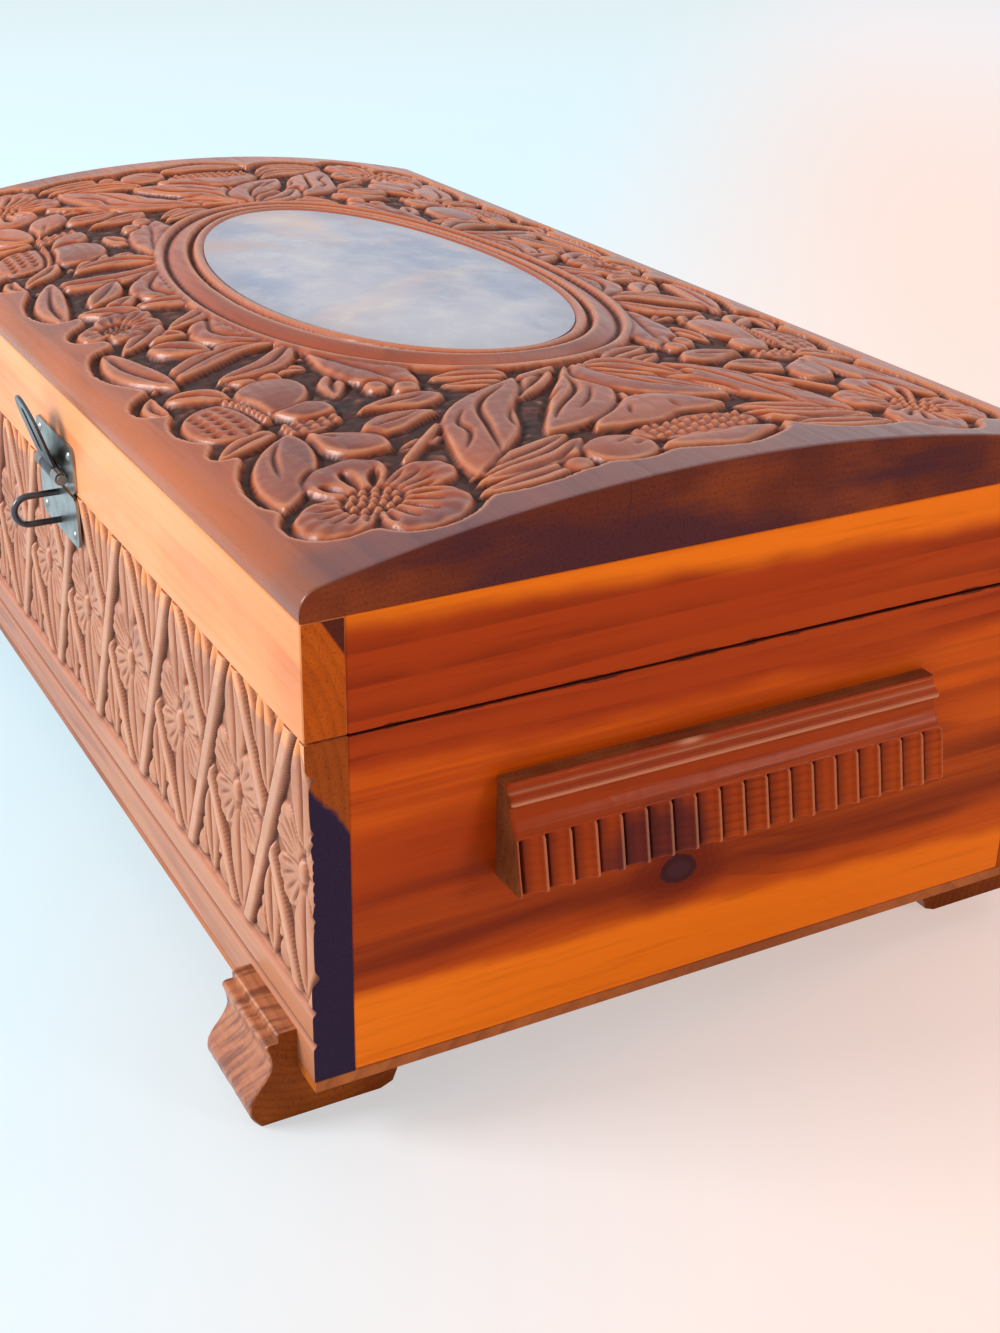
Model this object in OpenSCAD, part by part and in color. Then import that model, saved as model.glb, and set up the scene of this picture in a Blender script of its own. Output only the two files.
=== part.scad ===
// Keepsake box made of cedar boards. An arched, carved lid lifts on two butt hinges at
// the back, the front board carries a carved lattice of leaves, each end has a fluted
// handle strip, and the box stands on four ogee feet. A small steel hasp closes it.
// Millimetres. +X runs along the length, the front faces -Y and +Z is up. The origin is
// on the ground, under the middle of the overall length and depth.

/* [Case] */
// Length of the box along its front
box_len = 360; // [320:1:420]
// Depth from the front face to the back face
box_depth = 200; // [180:1:240]
// Thickness of the wall boards and the lid rails
board_t = 9.5; // [8:0.5:12]
// Height of the case walls
case_h = 81.8; // [76:0.1:110]
// Thickness of the base board
base_t = 3; // [2:0.5:6]
// Open seam between the case and the lid
seam_gap = 0.4; // [0.2:0.1:0.8]

/* [Lid] */
// Height of the lid rails
rail_h = 25.8; // [24:0.1:40]
// Thickness of the top board along its long edges
top_edge = 6; // [5:0.5:12]
// Rise of the arched top from its long edges to its crest
top_rise = 12; // [8:0.5:20]
// Round-over of the top board's long edges
top_round = 5.5; // [3:0.5:5.5]

/* [Carved top] */
// Narrowest width of the plain border round the carved field
border_w = 9; // [7:0.5:14]
// Depth of the carved ground below the top
ground_depth = 2.8; // [1.5:0.1:3]
// Depth of the carved leaves' tops below the top
leaf_drop = 0.6; // [0.3:0.1:1]
// Spacing of the scallops in the border
scallop_pitch = 24; // [18:1:36]
// How far the scallops bite into the border
scallop_depth = 4; // [2:0.5:6]
// Half length of the oval print
print_a = 87; // [70:1:100]
// Half width of the oval print
print_b = 42; // [35:1:48]
// Depth of the seat that the print lies in
print_seat = 1.2; // [0.8:0.1:2]
// Thickness of the print
print_t = 0.5; // [0.3:0.1:0.7]
// Width of the inner ring round the print
ring_inner_w = 3.2; // [2:0.2:5]
// Width of the middle ring
ring_middle_w = 6; // [4:0.5:9]
// Width of the outer ring
ring_outer_w = 3; // [2:0.2:5]
// Width of the two grooves between the rings
ring_groove = 1.2; // [0.8:0.1:2]

/* [Carved front] */
// Height of the plain band along the foot of the front
band_h = 9.6; // [7:0.1:12]
// Height of the flat bead above the band
bead_h = 8.4; // [6:0.1:12]
// Width of the V grooves below and above the bead
groove_w = 1.6; // [1:0.1:2.4]
// Depth of the lattice ground below the front face
lattice_depth = 2; // [1:0.1:3]
// Spacing of the lattice crossings
lattice_pitch = 37.5; // [30:0.5:48]
// Distance of the first crossing from the right end
lattice_start = 23.8; // [10:0.1:36]
// How far a rib leans over the height of the lattice
lattice_lean = 30; // [20:1:44]
// Width of the ribs that lean to the right
rib_w = 4.3; // [3:0.1:6]
// Width of the ribs that lean to the left
thin_rib_w = 3.2; // [2.4:0.1:6]
// Length of a carved leaf
leaf_len = 21; // [14:0.5:24]
// Width of a carved leaf
leaf_w = 7; // [5:0.5:9]
// Height of the leaves above the lattice ground
leaf_h = 1.1; // [0.6:0.1:1.4]

/* [Feet] */
// Length of a foot along the front
foot_len = 27; // [20:0.5:36]
// Distance of a foot from the end of the box
foot_inset = 9.5; // [6:0.5:16]
// Height of the feet below the base board
foot_leg = 12.5; // [8:0.5:20]
// Height of the feet above the foot of the walls
foot_lap = 7.8; // [6:0.1:9]
// Reach of a foot under the base board
foot_under = 24; // [18:0.5:32]
// Reach of the ogee's belly from the wall
foot_belly = 11.8; // [10:0.1:15]
// Reach of the ogee's waist from the wall
foot_waist = 6.4; // [5:0.1:8]
// Reach of the bead below the shelf
foot_bead = 7.4; // [6.5:0.1:9]
// Reach of the flat shelf on top of a foot
foot_shelf = 4.8; // [3:0.1:6]

/* [Handles] */
// Length of a handle strip
handle_len = 113.6; // [90:0.2:140]
// Height of a handle strip
handle_h = 24.3; // [22:0.1:30]
// Height of a handle's lower edge above the foot of the walls
handle_z = 40.2; // [30:0.1:45]
// Thickness along the upper edge
handle_top_t = 3.6; // [2:0.1:5]
// Thickness at the small bead
handle_bead_t = 5.4; // [5:0.1:7]
// Thickness at the shoulder over the flutes
handle_shoulder_t = 9; // [8:0.1:11]
// Thickness along the lower edge
handle_foot_t = 12.1; // [10:0.1:15]
// Height of the flutes
flute_h = 12.4; // [9:0.1:14]
// Spacing of the flutes
flute_pitch = 6.3; // [5:0.1:9]
// Depth of the flutes
flute_depth = 1.2; // [0.8:0.1:1.6]

/* [Hinges] */
// Distance of each hinge's middle from the end of the box
hinge_in = 70; // [45:1:100]
// Width of a hinge
hinge_w = 32; // [24:1:44]
// Height of a hinge leaf from the pin's axis
hinge_leaf_h = 13; // [10:0.5:16]
// Thickness of a hinge leaf
hinge_leaf_t = 1; // [0.6:0.1:1.4]
// Radius of a hinge knuckle
hinge_r = 2.4; // [2.2:0.1:3.5]
// Radius of a hinge pin
hinge_pin_r = 1; // [0.7:0.1:1.1]

/* [Hasp] */
// Distance of the hasp to the right of the middle
hasp_x = 12; // [-30:1:30]
// Width of the two hasp plates
plate_w = 34; // [28:1:44]
// Thickness of the hasp's sheet steel
sheet_t = 0.8; // [0.6:0.1:1]
// Height of the lid plate
lid_plate_h = 13; // [10:0.5:16]
// Height of the staple plate
staple_plate_h = 14; // [13:0.5:18]
// Height of the hasp's pin above the seam
hasp_pin_z = 3.4; // [3:0.1:5]
// Radius of the hasp's knuckles
hasp_r = 1.8; // [1.7:0.1:2.2]
// Radius of the hasp's pin
hasp_pin_r = 0.8; // [0.6:0.1:0.9]
// Width of the strap
strap_w = 16; // [13:0.5:20]
// How far the strap leans out from upright at rest
strap_lean = 18; // [5:1:30]
// Reach of the wire staple from the front face
staple_reach = 14; // [12:0.1:15]
// Drop of the staple's middle below the hasp's pin
staple_drop = 11; // [10:0.1:12]
// Radius of the staple's bend
staple_bend = 4; // [3.4:0.1:4.4]
// Radius of the staple's wire
wire_r = 0.9; // [0.7:0.1:1]
// Clearance of the strap's slot round the wire
slot_gap = 0.8; // [0.6:0.1:1.2]

/* [Fasteners] */
// Radius of the screws' shanks
screw_r = 1.1; // [0.9:0.1:1.4]
// Length of the hinge screws in the wood
screw_len = 7.5; // [6:0.5:7.5]
// Radius of the nails' shanks
nail_r = 0.6; // [0.5:0.1:0.8]
// Length of the nails in the wood
nail_len = 7; // [5:0.5:7.5]

/* [Clearances] */
// Radial clearance between a pin and its bore
pin_gap = 0.06; // [0.04:0.01:0.08]
// Gap between neighbouring knuckles
knuckle_gap = 0.3; // [0.2:0.1:0.5]
// Clearance of a part that swings past another
swing_gap = 0.4; // [0.3:0.1:0.6]
// Clearance round a fastener in its hole
hole_gap = 0.1; // [0.05:0.05:0.2]

/* [Hidden] */

$fn = 64;
eps = 0.01;

// Levels from the ground up
base_z = foot_leg;
case_z = base_z + base_t;
case_top = case_z + case_h;
seam_z = case_top + seam_gap / 2;
rail_z = case_top + seam_gap;
rail_top = rail_z + rail_h;
edge_z = rail_top + top_edge;

// Planes of the box; the depth is centred on the overall bounding box
foot_h = foot_leg + base_t + foot_lap;
front_reach = max(foot_belly, staple_reach);
back_reach = max(foot_belly, 2 * hinge_r + swing_gap);
front_y = -box_depth / 2 + (front_reach - back_reach) / 2;
back_y = front_y + box_depth;
mid_y = (front_y + back_y) / 2;
end_x = box_len / 2;
inner_x = end_x - board_t;
inner_front_y = front_y + board_t;
inner_back_y = back_y - board_t;

// Arc of the lid's top
arch_r = (pow(box_depth / 2, 2) + top_rise * top_rise) / (2 * top_rise);
arch_z = edge_z + top_rise - arch_r;
crest_z = edge_z + top_rise;

// Oval print and its rings
ring_total = ring_inner_w + ring_middle_w + ring_outer_w + 2 * ring_groove;
oval_sides = 96;

// Lattice on the front
lattice_z = case_z + band_h + bead_h;
lattice_h = case_top - lattice_z;
lattice_slope = atan2(lattice_lean, lattice_h);
lattice_count = ceil(box_len / lattice_pitch) + 1;

// Flutes of the handles
flute_count = floor(handle_len / flute_pitch + eps);
flute_tilt = atan2(handle_foot_t - handle_shoulder_t, flute_h);
flute_r = (pow(flute_pitch / 2, 2) + flute_depth * flute_depth) / (2 * flute_depth);
handle_bead_h = 1.6;
handle_bead_drop = 2.4;

// Hinges: axis, knuckle lengths and screw places
hinge_x = end_x - hinge_in;
hinge_y = back_y + swing_gap + hinge_r;
knuckle_w = (hinge_w - 2 * knuckle_gap) / 3;
hinge_screw_x = hinge_w / 2 - 6;
hinge_screw_z = hinge_leaf_h - 5;
screw_head_r = screw_r * 1.9;
screw_head_h = screw_r;

// Hasp: axis, knuckle lengths, strap and slot
hasp_y = front_y - hasp_r - swing_gap;
hasp_z = seam_z + hasp_pin_z;
hasp_knuckle_w = strap_w * 0.6;
hasp_side_w = strap_w * 0.3;
staple_z = hasp_z - staple_drop;
staple_turn_y = front_y - staple_reach + staple_bend + wire_r;
slot_w = 2 * (wire_r + slot_gap);
slot_in = staple_drop - staple_bend - wire_r - slot_gap;
slot_out = norm([hasp_y - staple_turn_y, staple_drop]) + staple_bend + wire_r + slot_gap;
strap_len = slot_out + 3.2;
staple_plate_z = case_top - swing_gap - staple_plate_h;
plate_nail_x = plate_w / 2 - 3.5;
nail_head_r = nail_r * 2.2;
nail_head_h = nail_r;
staple_root = 6;

// Screws in the handles and feet
handle_screw_x = handle_len * 0.31;
handle_screw_z = case_z + handle_z + 6;
handle_screw_len = board_t + 5;
foot_screw_in = board_t / 2;
foot_screw_sink = 3;
foot_screw_len = foot_leg - foot_screw_sink + base_t + 5;

// A board between two opposite corners
module board(from, to) {
    translate(from) cube(to - from);
}

// An outline in Y and Z, drawn along X from one place to another
module along_x(x0, x1) {
    translate([x0, 0, 0]) rotate([90, 0, 90]) linear_extrude(x1 - x0) children();
}

// A cylinder along X from one place to another
module rod_x(x0, x1, y, z, r) {
    translate([x0, y, z]) rotate([0, 90, 0]) cylinder(h = x1 - x0, r = r);
}

// A screw or nail: shank down from the origin, domed head above it
module fastener(len, r, head_r, head_h) {
    dome_r = (head_r * head_r + head_h * head_h) / (2 * head_h);
    translate([0, 0, -len]) cylinder(h = len + eps, r = r);
    intersection() {
        translate([0, 0, head_h - dome_r]) sphere(dome_r);
        cylinder(h = head_h * 2, r = head_r);
    }
}

// ---- Case ----

// Where the lattice ribs cross, counted from the right end
function crossing_x(i) = end_x - lattice_start - i * lattice_pitch;

module lattice_rib(x, side) {
    translate([x, lattice_z + lattice_h / 2])
        rotate(-side * lattice_slope)
            square([side < 0 ? thin_rib_w : rib_w, 2 * box_depth], center = true);
}

// A pointed leaf: two arcs that meet at both tips
module leaf(len, w) {
    r = (len * len / 4 + w * w / 4) / w;
    intersection() {
        translate([r - w / 2, 0]) circle(r);
        translate([w / 2 - r, 0]) circle(r);
    }
}

// Three leaves that spread from one point
module leaf_spray(len, w) {
    for (turn = [-38, 0, 38])
        rotate(turn) translate([0, len / 2 + 1]) leaf(len, w);
}

module lattice_leaves() {
    for (i = [-1 : lattice_count]) {
        diamond_x = crossing_x(i) - lattice_pitch / 2;
        translate([diamond_x, lattice_z + lattice_h / 2 - leaf_len / 2])
            leaf_spray(leaf_len, leaf_w);
        translate([diamond_x, lattice_z + lattice_h / 2 - leaf_len / 2])
            rotate(180) translate([0, leaf_len * 0.35]) leaf(leaf_len * 0.6, leaf_w * 0.8);
        translate([crossing_x(i), lattice_z + 1]) leaf_spray(leaf_len * 0.6, leaf_w * 0.7);
        translate([crossing_x(i), case_top - 1])
            rotate(180) leaf_spray(leaf_len * 0.6, leaf_w * 0.7);
    }
}

module front_groove(z) {
    along_x(-end_x - eps, end_x + eps)
        polygon([
            [front_y - eps, z - groove_w / 2],
            [front_y + groove_w / 2, z],
            [front_y - eps, z + groove_w / 2],
        ]);
}

// The part of the front board that the carver takes away between ribs and leaves
module lattice_waste() {
    front = front_y - eps;
    floor_y = front_y + lattice_depth;
    difference() {
        board([-end_x - 1, front, lattice_z], [end_x + 1, floor_y, case_top + 1]);
        translate([0, floor_y + 1, 0]) rotate([90, 0, 0])
            linear_extrude(lattice_depth + 2)
                for (i = [-1 : lattice_count], side = [-1, 1])
                    lattice_rib(crossing_x(i), side);
        translate([0, floor_y + 1, 0]) rotate([90, 0, 0])
            linear_extrude(leaf_h + 1) lattice_leaves();
    }
}

module front_panel() {
    color("#b5714f") difference() {
        board([-end_x, front_y, case_z], [end_x, inner_front_y, case_top]);
        front_groove(case_z + band_h);
        front_groove(lattice_z);
        lattice_waste();
        staple_holes();
        staple_plate_nail_holes();
        foot_screw_holes();
        base_nail_holes();
    }
}

module back_panel() {
    color("#a8522b") difference() {
        board([-end_x, inner_back_y, case_z], [end_x, back_y, case_top]);
        hinge_screw_holes(-1);
        foot_screw_holes();
        base_nail_holes();
    }
}

module end_panel(side) {
    difference() {
        board([-board_t / 2, inner_front_y, case_z] + [side * (end_x - board_t / 2), 0, 0],
              [board_t / 2, inner_back_y, case_top] + [side * (end_x - board_t / 2), 0, 0]);
        handle_screw_holes();
        base_nail_holes();
    }
}

module left_end_panel() {
    color("#b0522a") end_panel(-1);
}

module right_end_panel() {
    color("#b0522a") end_panel(1);
}

module base_board() {
    color("#a85f2e") difference() {
        board([-end_x, front_y, base_z], [end_x, back_y, case_z]);
        foot_screw_holes();
        base_nail_holes();
    }
}

// ---- Feet ----

// Reach of the ogee at a height above the ground: belly below, waist above
belly_z = 5;
waist_z = foot_h - 7.8;
toe_in = 2.4;
bead_z = foot_h - 4;
bead_top = foot_h - 2.4;
function ogee(v) =
    v < belly_z ? foot_belly - toe_in * pow(1 - v / belly_z, 2) :
    v < waist_z ? (foot_belly + foot_waist) / 2
        + (foot_belly - foot_waist) / 2 * cos(180 * (v - belly_z) / (waist_z - belly_z)) :
    foot_waist + (foot_bead - foot_waist) * 0.7 * pow((v - waist_z) / (bead_z - waist_z), 2);

// Outline of a foot: reach from the wall along X, height along Y
module foot_outline() {
    steps = 28;
    heel_r = foot_leg / 3;
    nose_r = (bead_top - bead_z) / 2;
    heel = [for (a = [180 : 15 : 270]) [heel_r - foot_under, heel_r] + heel_r * [cos(a), sin(a)]];
    face = [for (i = [0 : steps]) [ogee(bead_z * i / steps), bead_z * i / steps]];
    nose = [for (a = [-90 : 30 : 90])
        [foot_bead - nose_r, bead_z + nose_r] + nose_r * [cos(a), sin(a)]];
    polygon(concat([[-foot_under, foot_leg]], heel, face, nose,
        [[foot_shelf, bead_top], [foot_shelf, foot_h], [0, foot_h], [0, foot_leg]]));
}

// A foot at one corner: side -1 is left, face -1 is the front
module foot(side, face) {
    color("#7d4a28") difference() {
        translate([side * (end_x - foot_inset - foot_len / 2), face < 0 ? front_y : back_y, 0])
            rotate([90, 0, face < 0 ? -90 : 90])
                translate([0, 0, -foot_len / 2]) linear_extrude(foot_len) foot_outline();
        foot_screw_holes();
    }
}

module front_left_foot() {
    foot(-1, -1);
}

module front_right_foot() {
    foot(1, -1);
}

module back_left_foot() {
    foot(-1, 1);
}

module back_right_foot() {
    foot(1, 1);
}

// ---- Handles ----

// Outline of a handle strip: thickness along X, height along Y
module handle_outline() {
    cove_top = handle_h - handle_bead_drop - handle_bead_h;
    cove_t = handle_shoulder_t - 0.8;
    steps = 10;
    cove = [for (i = [0 : steps]) let (s = i / steps)
        [cove_t + (handle_bead_t - 0.3 - cove_t) * sin(90 * s), flute_h + (cove_top - flute_h) * s]];
    nose = [for (a = [-60 : 30 : 90])
        [handle_bead_t - handle_bead_h / 2, cove_top + handle_bead_h / 2]
            + handle_bead_h / 2 * [cos(a), sin(a)]];
    polygon(concat([[0, 0], [handle_foot_t - 0.8, 0], [handle_foot_t, 1], [handle_shoulder_t, flute_h]],
        cove, nose, [[handle_top_t, handle_h], [0, handle_h]]));
}

module handle_flutes() {
    first = -(flute_count - 1) / 2 * flute_pitch;
    intersection() {
        for (i = [0 : flute_count - 1])
            translate([handle_shoulder_t, first + i * flute_pitch, flute_h])
                rotate([0, 180 - flute_tilt, 0])
                    translate([-(flute_r - flute_depth), 0, -handle_h])
                        cylinder(h = 3 * handle_h, r = flute_r);
        translate([0, -handle_len, -1])
            cube([2 * handle_foot_t, 2 * handle_len, flute_h + handle_bead_drop + 1]);
    }
}

module handle(side) {
    color("#96502c") difference() {
        translate([side * end_x, mid_y, case_z + handle_z]) rotate(side > 0 ? 0 : 180)
            difference() {
                translate([0, handle_len / 2, 0]) rotate([90, 0, 0])
                    linear_extrude(handle_len) handle_outline();
                handle_flutes();
            }
        handle_screw_holes();
    }
}

module left_handle() {
    handle(-1);
}

module right_handle() {
    handle(1);
}

// ---- Lid ----

// Outline of the top board in Y and Z: flat below, arched above, long edges rounded
module top_outline() {
    turn_y = box_depth / 2 - top_round;
    turn_z = arch_z + sqrt(pow(arch_r - top_round, 2) - turn_y * turn_y);
    tilt = atan2(turn_y, turn_z - arch_z);
    steps = 6;
    edge = [for (i = [0 : steps]) let (a = (90 - tilt) * i / steps)
        [turn_y + top_round * cos(a), turn_z + top_round * sin(a)]];
    half = concat([[box_depth / 2, rail_top]], edge, [[edge[steps].x, crest_z + 1]]);
    intersection() {
        translate([0, arch_z]) circle(arch_r, $fn = 360);
        polygon(concat(half, [for (i = [len(half) - 1 : -1 : 0]) [-half[i].x, half[i].y]]));
    }
}

// Everything under a surface that lies the given depth below the arched top
module under_arch(depth) {
    translate([0, mid_y, arch_z]) rod_x(-box_len, box_len, 0, 0, arch_r - depth, $fn = 360);
}

function oval(a, b) = [for (i = [0 : oval_sides - 1])
    [a * cos(360 * i / oval_sides), b * sin(360 * i / oval_sides)]];

// An upright oval prism through the lid, the given amount larger than the print
module oval_post(grow) {
    translate([0, mid_y, rail_top]) linear_extrude(2 * top_edge + 2 * top_rise)
        polygon(oval(print_a + grow, print_b + grow));
}

// A row of scallops along one side of the field
module scallops(length, offset) {
    count = round(length / scallop_pitch);
    chord = length / count * 1.04;
    r = (chord * chord / 4 + scallop_depth * scallop_depth) / (2 * scallop_depth);
    for (i = [0 : count - 1])
        translate([(i + 0.5) * length / count - length / 2, offset + scallop_depth - r]) circle(r);
}

// Outline of the carved field seen from above, with its scalloped border
module field_outline() {
    length = box_len - 2 * (border_w + scallop_depth);
    width = box_depth - 2 * (border_w + scallop_depth);
    square([length, width], center = true);
    for (turn = [0, 180]) {
        rotate(turn) scallops(length, width / 2);
        rotate(turn + 90) scallops(width, length / 2);
    }
}

module ring_grooves() {
    for (inner = [ring_inner_w, ring_inner_w + ring_groove + ring_middle_w]) {
        difference() {
            oval_post(inner + ring_groove);
            oval_post(inner);
            under_arch(ground_depth / 2);
        }
    }
}

// Carved leaves, each [x, y, x, y, width] from its stalk to its tip. The corner's are
// measured from the corner of the top, the others from the middle of a side or an end.
corner_leaves = [
    [-76, 99, -36, 76, 14], [-72, 87, -26, 50, 16], [-28, 80, -20, 47, 15],
    [-121, 55, -80, 63, 14], [-75, 44, -72, 66, 9], [-62, 41, -61, 62, 9],
    [-73, 29, -39, 13, 14], [-70, 32, -51, 43, 11], [-92, 29, -80, 43, 9],
    [-75, 28, -74, 11, 7],
];
corner_petals = [[-105, 8, 15], [-28, 12, 17], [172, 13, 17], [100, 13, 18], [46, 14, 18]];
corner_flower = [-29.5, 28];
pod = [[-101, 35, 9], [-93, 20, 8.5]];
side_leaves = [
    [46, 52, 54, 18, 10], [49, 52, 63, 31, 9], [12, 45, 43, 50, 11], [3, 47, 14, 31, 9],
    [13, 23, 21, 34, 8], [26, 23, 39, 34, 9], [18, 13, 55, 19, 9],
];
end_leaves = [[-36, 10, -31, -16, 13], [-16, 3, -17, -13, 8], [-26, -10, -14, -21, 11]];

// A leaf between two places
module leaf_between(p) {
    to = [p[2] - p[0], p[3] - p[1]];
    translate([(p[0] + p[2]) / 2, (p[1] + p[3]) / 2]) rotate(-atan2(to.x, to.y))
        leaf(norm(to), p[4]);
}

// The motifs of one corner, drawn from the corner at the origin
module corner_motifs() {
    for (p = corner_leaves) leaf_between(p);
    translate(corner_flower) {
        circle(6);
        for (p = corner_petals) rotate(p[0]) translate([p[1], 0]) circle(p[2] / 2);
    }
    for (p = pod) translate([p[0], p[1]]) circle(p[2]);
}

// Its children and their mirror image
module both_ways(axis) {
    children();
    mirror(axis) children();
}

// Everything that stands up in the field, seen from above
module motifs() {
    both_ways([1, 0]) {
        both_ways([0, 1]) translate([end_x, -box_depth / 2]) corner_motifs();
        both_ways([0, 1]) translate([0, -box_depth / 2])
            for (p = side_leaves) leaf_between(p);
        translate([end_x, 0]) for (p = end_leaves) leaf_between(p);
    }
}

// The carved field: down to the leaves' tops, and between the leaves down to the ground
module field_waste() {
    intersection() {
        translate([0, mid_y, rail_top]) linear_extrude(2 * top_edge + 2 * top_rise)
            field_outline();
        difference() {
            board([-box_len, -box_depth, rail_top], [box_len, box_depth, crest_z + 1]);
            under_arch(leaf_drop);
            oval_post(ring_total);
        }
    }
    difference() {
        translate([0, mid_y, rail_top]) linear_extrude(2 * top_edge + 2 * top_rise)
            difference() {
                field_outline();
                motifs();
            }
        under_arch(ground_depth);
        oval_post(ring_total);
    }
}

module lid_top_board() {
    color("#9c5a44") difference() {
        translate([0, mid_y, 0]) along_x(-end_x, end_x) top_outline();
        field_waste();
        ring_grooves();
        difference() {
            oval_post(0);
            under_arch(print_seat);
        }
    }
}

module oval_print() {
    color("#8d97a8") intersection() {
        oval_post(-0.2);
        difference() {
            under_arch(print_seat - print_t);
            under_arch(print_seat);
        }
    }
}

module lid_front_rail() {
    color("#e0945a") difference() {
        board([-end_x, front_y, rail_z], [end_x, inner_front_y, rail_top]);
        hasp_lid_nail_holes();
    }
}

module lid_back_rail() {
    color("#a8522b") difference() {
        board([-end_x, inner_back_y, rail_z], [end_x, back_y, rail_top]);
        hinge_screw_holes(1);
    }
}

module lid_left_rail() {
    color("#b0522a") board([-end_x, inner_front_y, rail_z], [-inner_x, inner_back_y, rail_top]);
}

module lid_right_rail() {
    color("#b0522a") board([inner_x, inner_front_y, rail_z], [end_x, inner_back_y, rail_top]);
}

// ---- Hinges ----

// Place of a knuckle: 0 and 2 belong to the case leaf, 1 to the lid leaf
function knuckle_x(i) = (i - 1) * (knuckle_w + knuckle_gap);

// A hinge leaf round x = 0: up is 1 for the lid leaf, -1 for the case leaf
module hinge_leaf(up, own, other) {
    difference() {
        union() {
            board([-hinge_w / 2, back_y, up < 0 ? seam_z - hinge_leaf_h : rail_z],
                  [hinge_w / 2, back_y + hinge_leaf_t, up < 0 ? case_top : seam_z + hinge_leaf_h]);
            for (i = own)
                rod_x(knuckle_x(i) - knuckle_w / 2, knuckle_x(i) + knuckle_w / 2,
                      hinge_y, seam_z, hinge_r);
        }
        for (i = other)
            translate([knuckle_x(i), back_y, seam_z])
                cube([knuckle_w + 2 * knuckle_gap, 4 * hinge_r, 2 * (hinge_r + swing_gap)],
                     center = true);
        rod_x(-hinge_w, hinge_w, hinge_y, seam_z, hinge_pin_r + pin_gap);
        for (x = [-hinge_screw_x, hinge_screw_x])
            translate([x, back_y - 1, seam_z + up * hinge_screw_z]) rotate([-90, 0, 0])
                cylinder(h = hinge_leaf_t + 2, r = screw_r + hole_gap);
    }
}

module hinge_pin() {
    head_h = 1;
    rod_x(-hinge_w / 2 - knuckle_gap - eps, hinge_w / 2 + knuckle_gap + eps,
          hinge_y, seam_z, hinge_pin_r);
    for (side = [-1, 1])
        rod_x(side * (hinge_w / 2 + knuckle_gap + head_h / 2) - head_h / 2,
              side * (hinge_w / 2 + knuckle_gap + head_h / 2) + head_h / 2,
              hinge_y, seam_z, hinge_r * 0.8);
}

module hinge_screws(up) {
    for (hinge = [-hinge_x, hinge_x], x = [-hinge_screw_x, hinge_screw_x])
        translate([hinge + x, back_y + hinge_leaf_t, seam_z + up * hinge_screw_z])
            rotate([-90, 0, 0])
                fastener(screw_len + hinge_leaf_t, screw_r, screw_head_r, screw_head_h);
}

module hinge_screw_holes(up) {
    for (hinge = [-hinge_x, hinge_x], x = [-hinge_screw_x, hinge_screw_x])
        translate([hinge + x, back_y + 1, seam_z + up * hinge_screw_z]) rotate([90, 0, 0])
            cylinder(h = screw_len + hole_gap + 1, r = screw_r + hole_gap);
}

module left_hinge_case_leaf() {
    color("silver") translate([-hinge_x, 0, 0]) hinge_leaf(-1, [0, 2], [1]);
}

module right_hinge_case_leaf() {
    color("silver") translate([hinge_x, 0, 0]) hinge_leaf(-1, [0, 2], [1]);
}

module left_hinge_lid_leaf() {
    color("silver") translate([-hinge_x, 0, 0]) hinge_leaf(1, [1], [0, 2]);
}

module right_hinge_lid_leaf() {
    color("silver") translate([hinge_x, 0, 0]) hinge_leaf(1, [1], [0, 2]);
}

module left_hinge_pin() {
    color("gray") translate([-hinge_x, 0, 0]) hinge_pin();
}

module right_hinge_pin() {
    color("gray") translate([hinge_x, 0, 0]) hinge_pin();
}

module hinge_case_screws() {
    color("gray") hinge_screws(-1);
}

module hinge_lid_screws() {
    color("gray") hinge_screws(1);
}

// ---- Hasp ----

// A plate with rounded corners on the front face, from one level to another
module front_plate(z0, z1, r) {
    translate([hasp_x, front_y, (z0 + z1) / 2]) rotate([90, 0, 0]) linear_extrude(sheet_t)
        intersection() {
            square([plate_w, z1 - z0], center = true);
            union() {
                square([plate_w + 1, z1 - z0 - 2 * r], center = true);
                square([plate_w - 2 * r, z1 - z0 + 1], center = true);
                for (x = [-1, 1], z = [-1, 1])
                    translate([x * (plate_w / 2 - r), z * ((z1 - z0) / 2 - r)]) circle(r);
            }
        }
}

module hasp_lid_plate() {
    plate_z = rail_z + swing_gap;
    outer = hasp_knuckle_w / 2 + knuckle_gap;
    color("silver") difference() {
        union() {
            front_plate(plate_z, plate_z + lid_plate_h, 2.5);
            for (x = [-outer - hasp_side_w, outer])
                rod_x(hasp_x + x, hasp_x + x + hasp_side_w, hasp_y, hasp_z, hasp_r);
        }
        rod_x(hasp_x - outer, hasp_x + outer, hasp_y, hasp_z, hasp_r + swing_gap);
        rod_x(hasp_x - plate_w, hasp_x + plate_w, hasp_y, hasp_z, hasp_pin_r + pin_gap);
        plate_nail_holes(lid_nail_z(), sheet_t);
    }
}

function lid_nail_z() = rail_z + swing_gap + lid_plate_h - 3;
function staple_nail_z() = staple_plate_z + 3;

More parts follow.
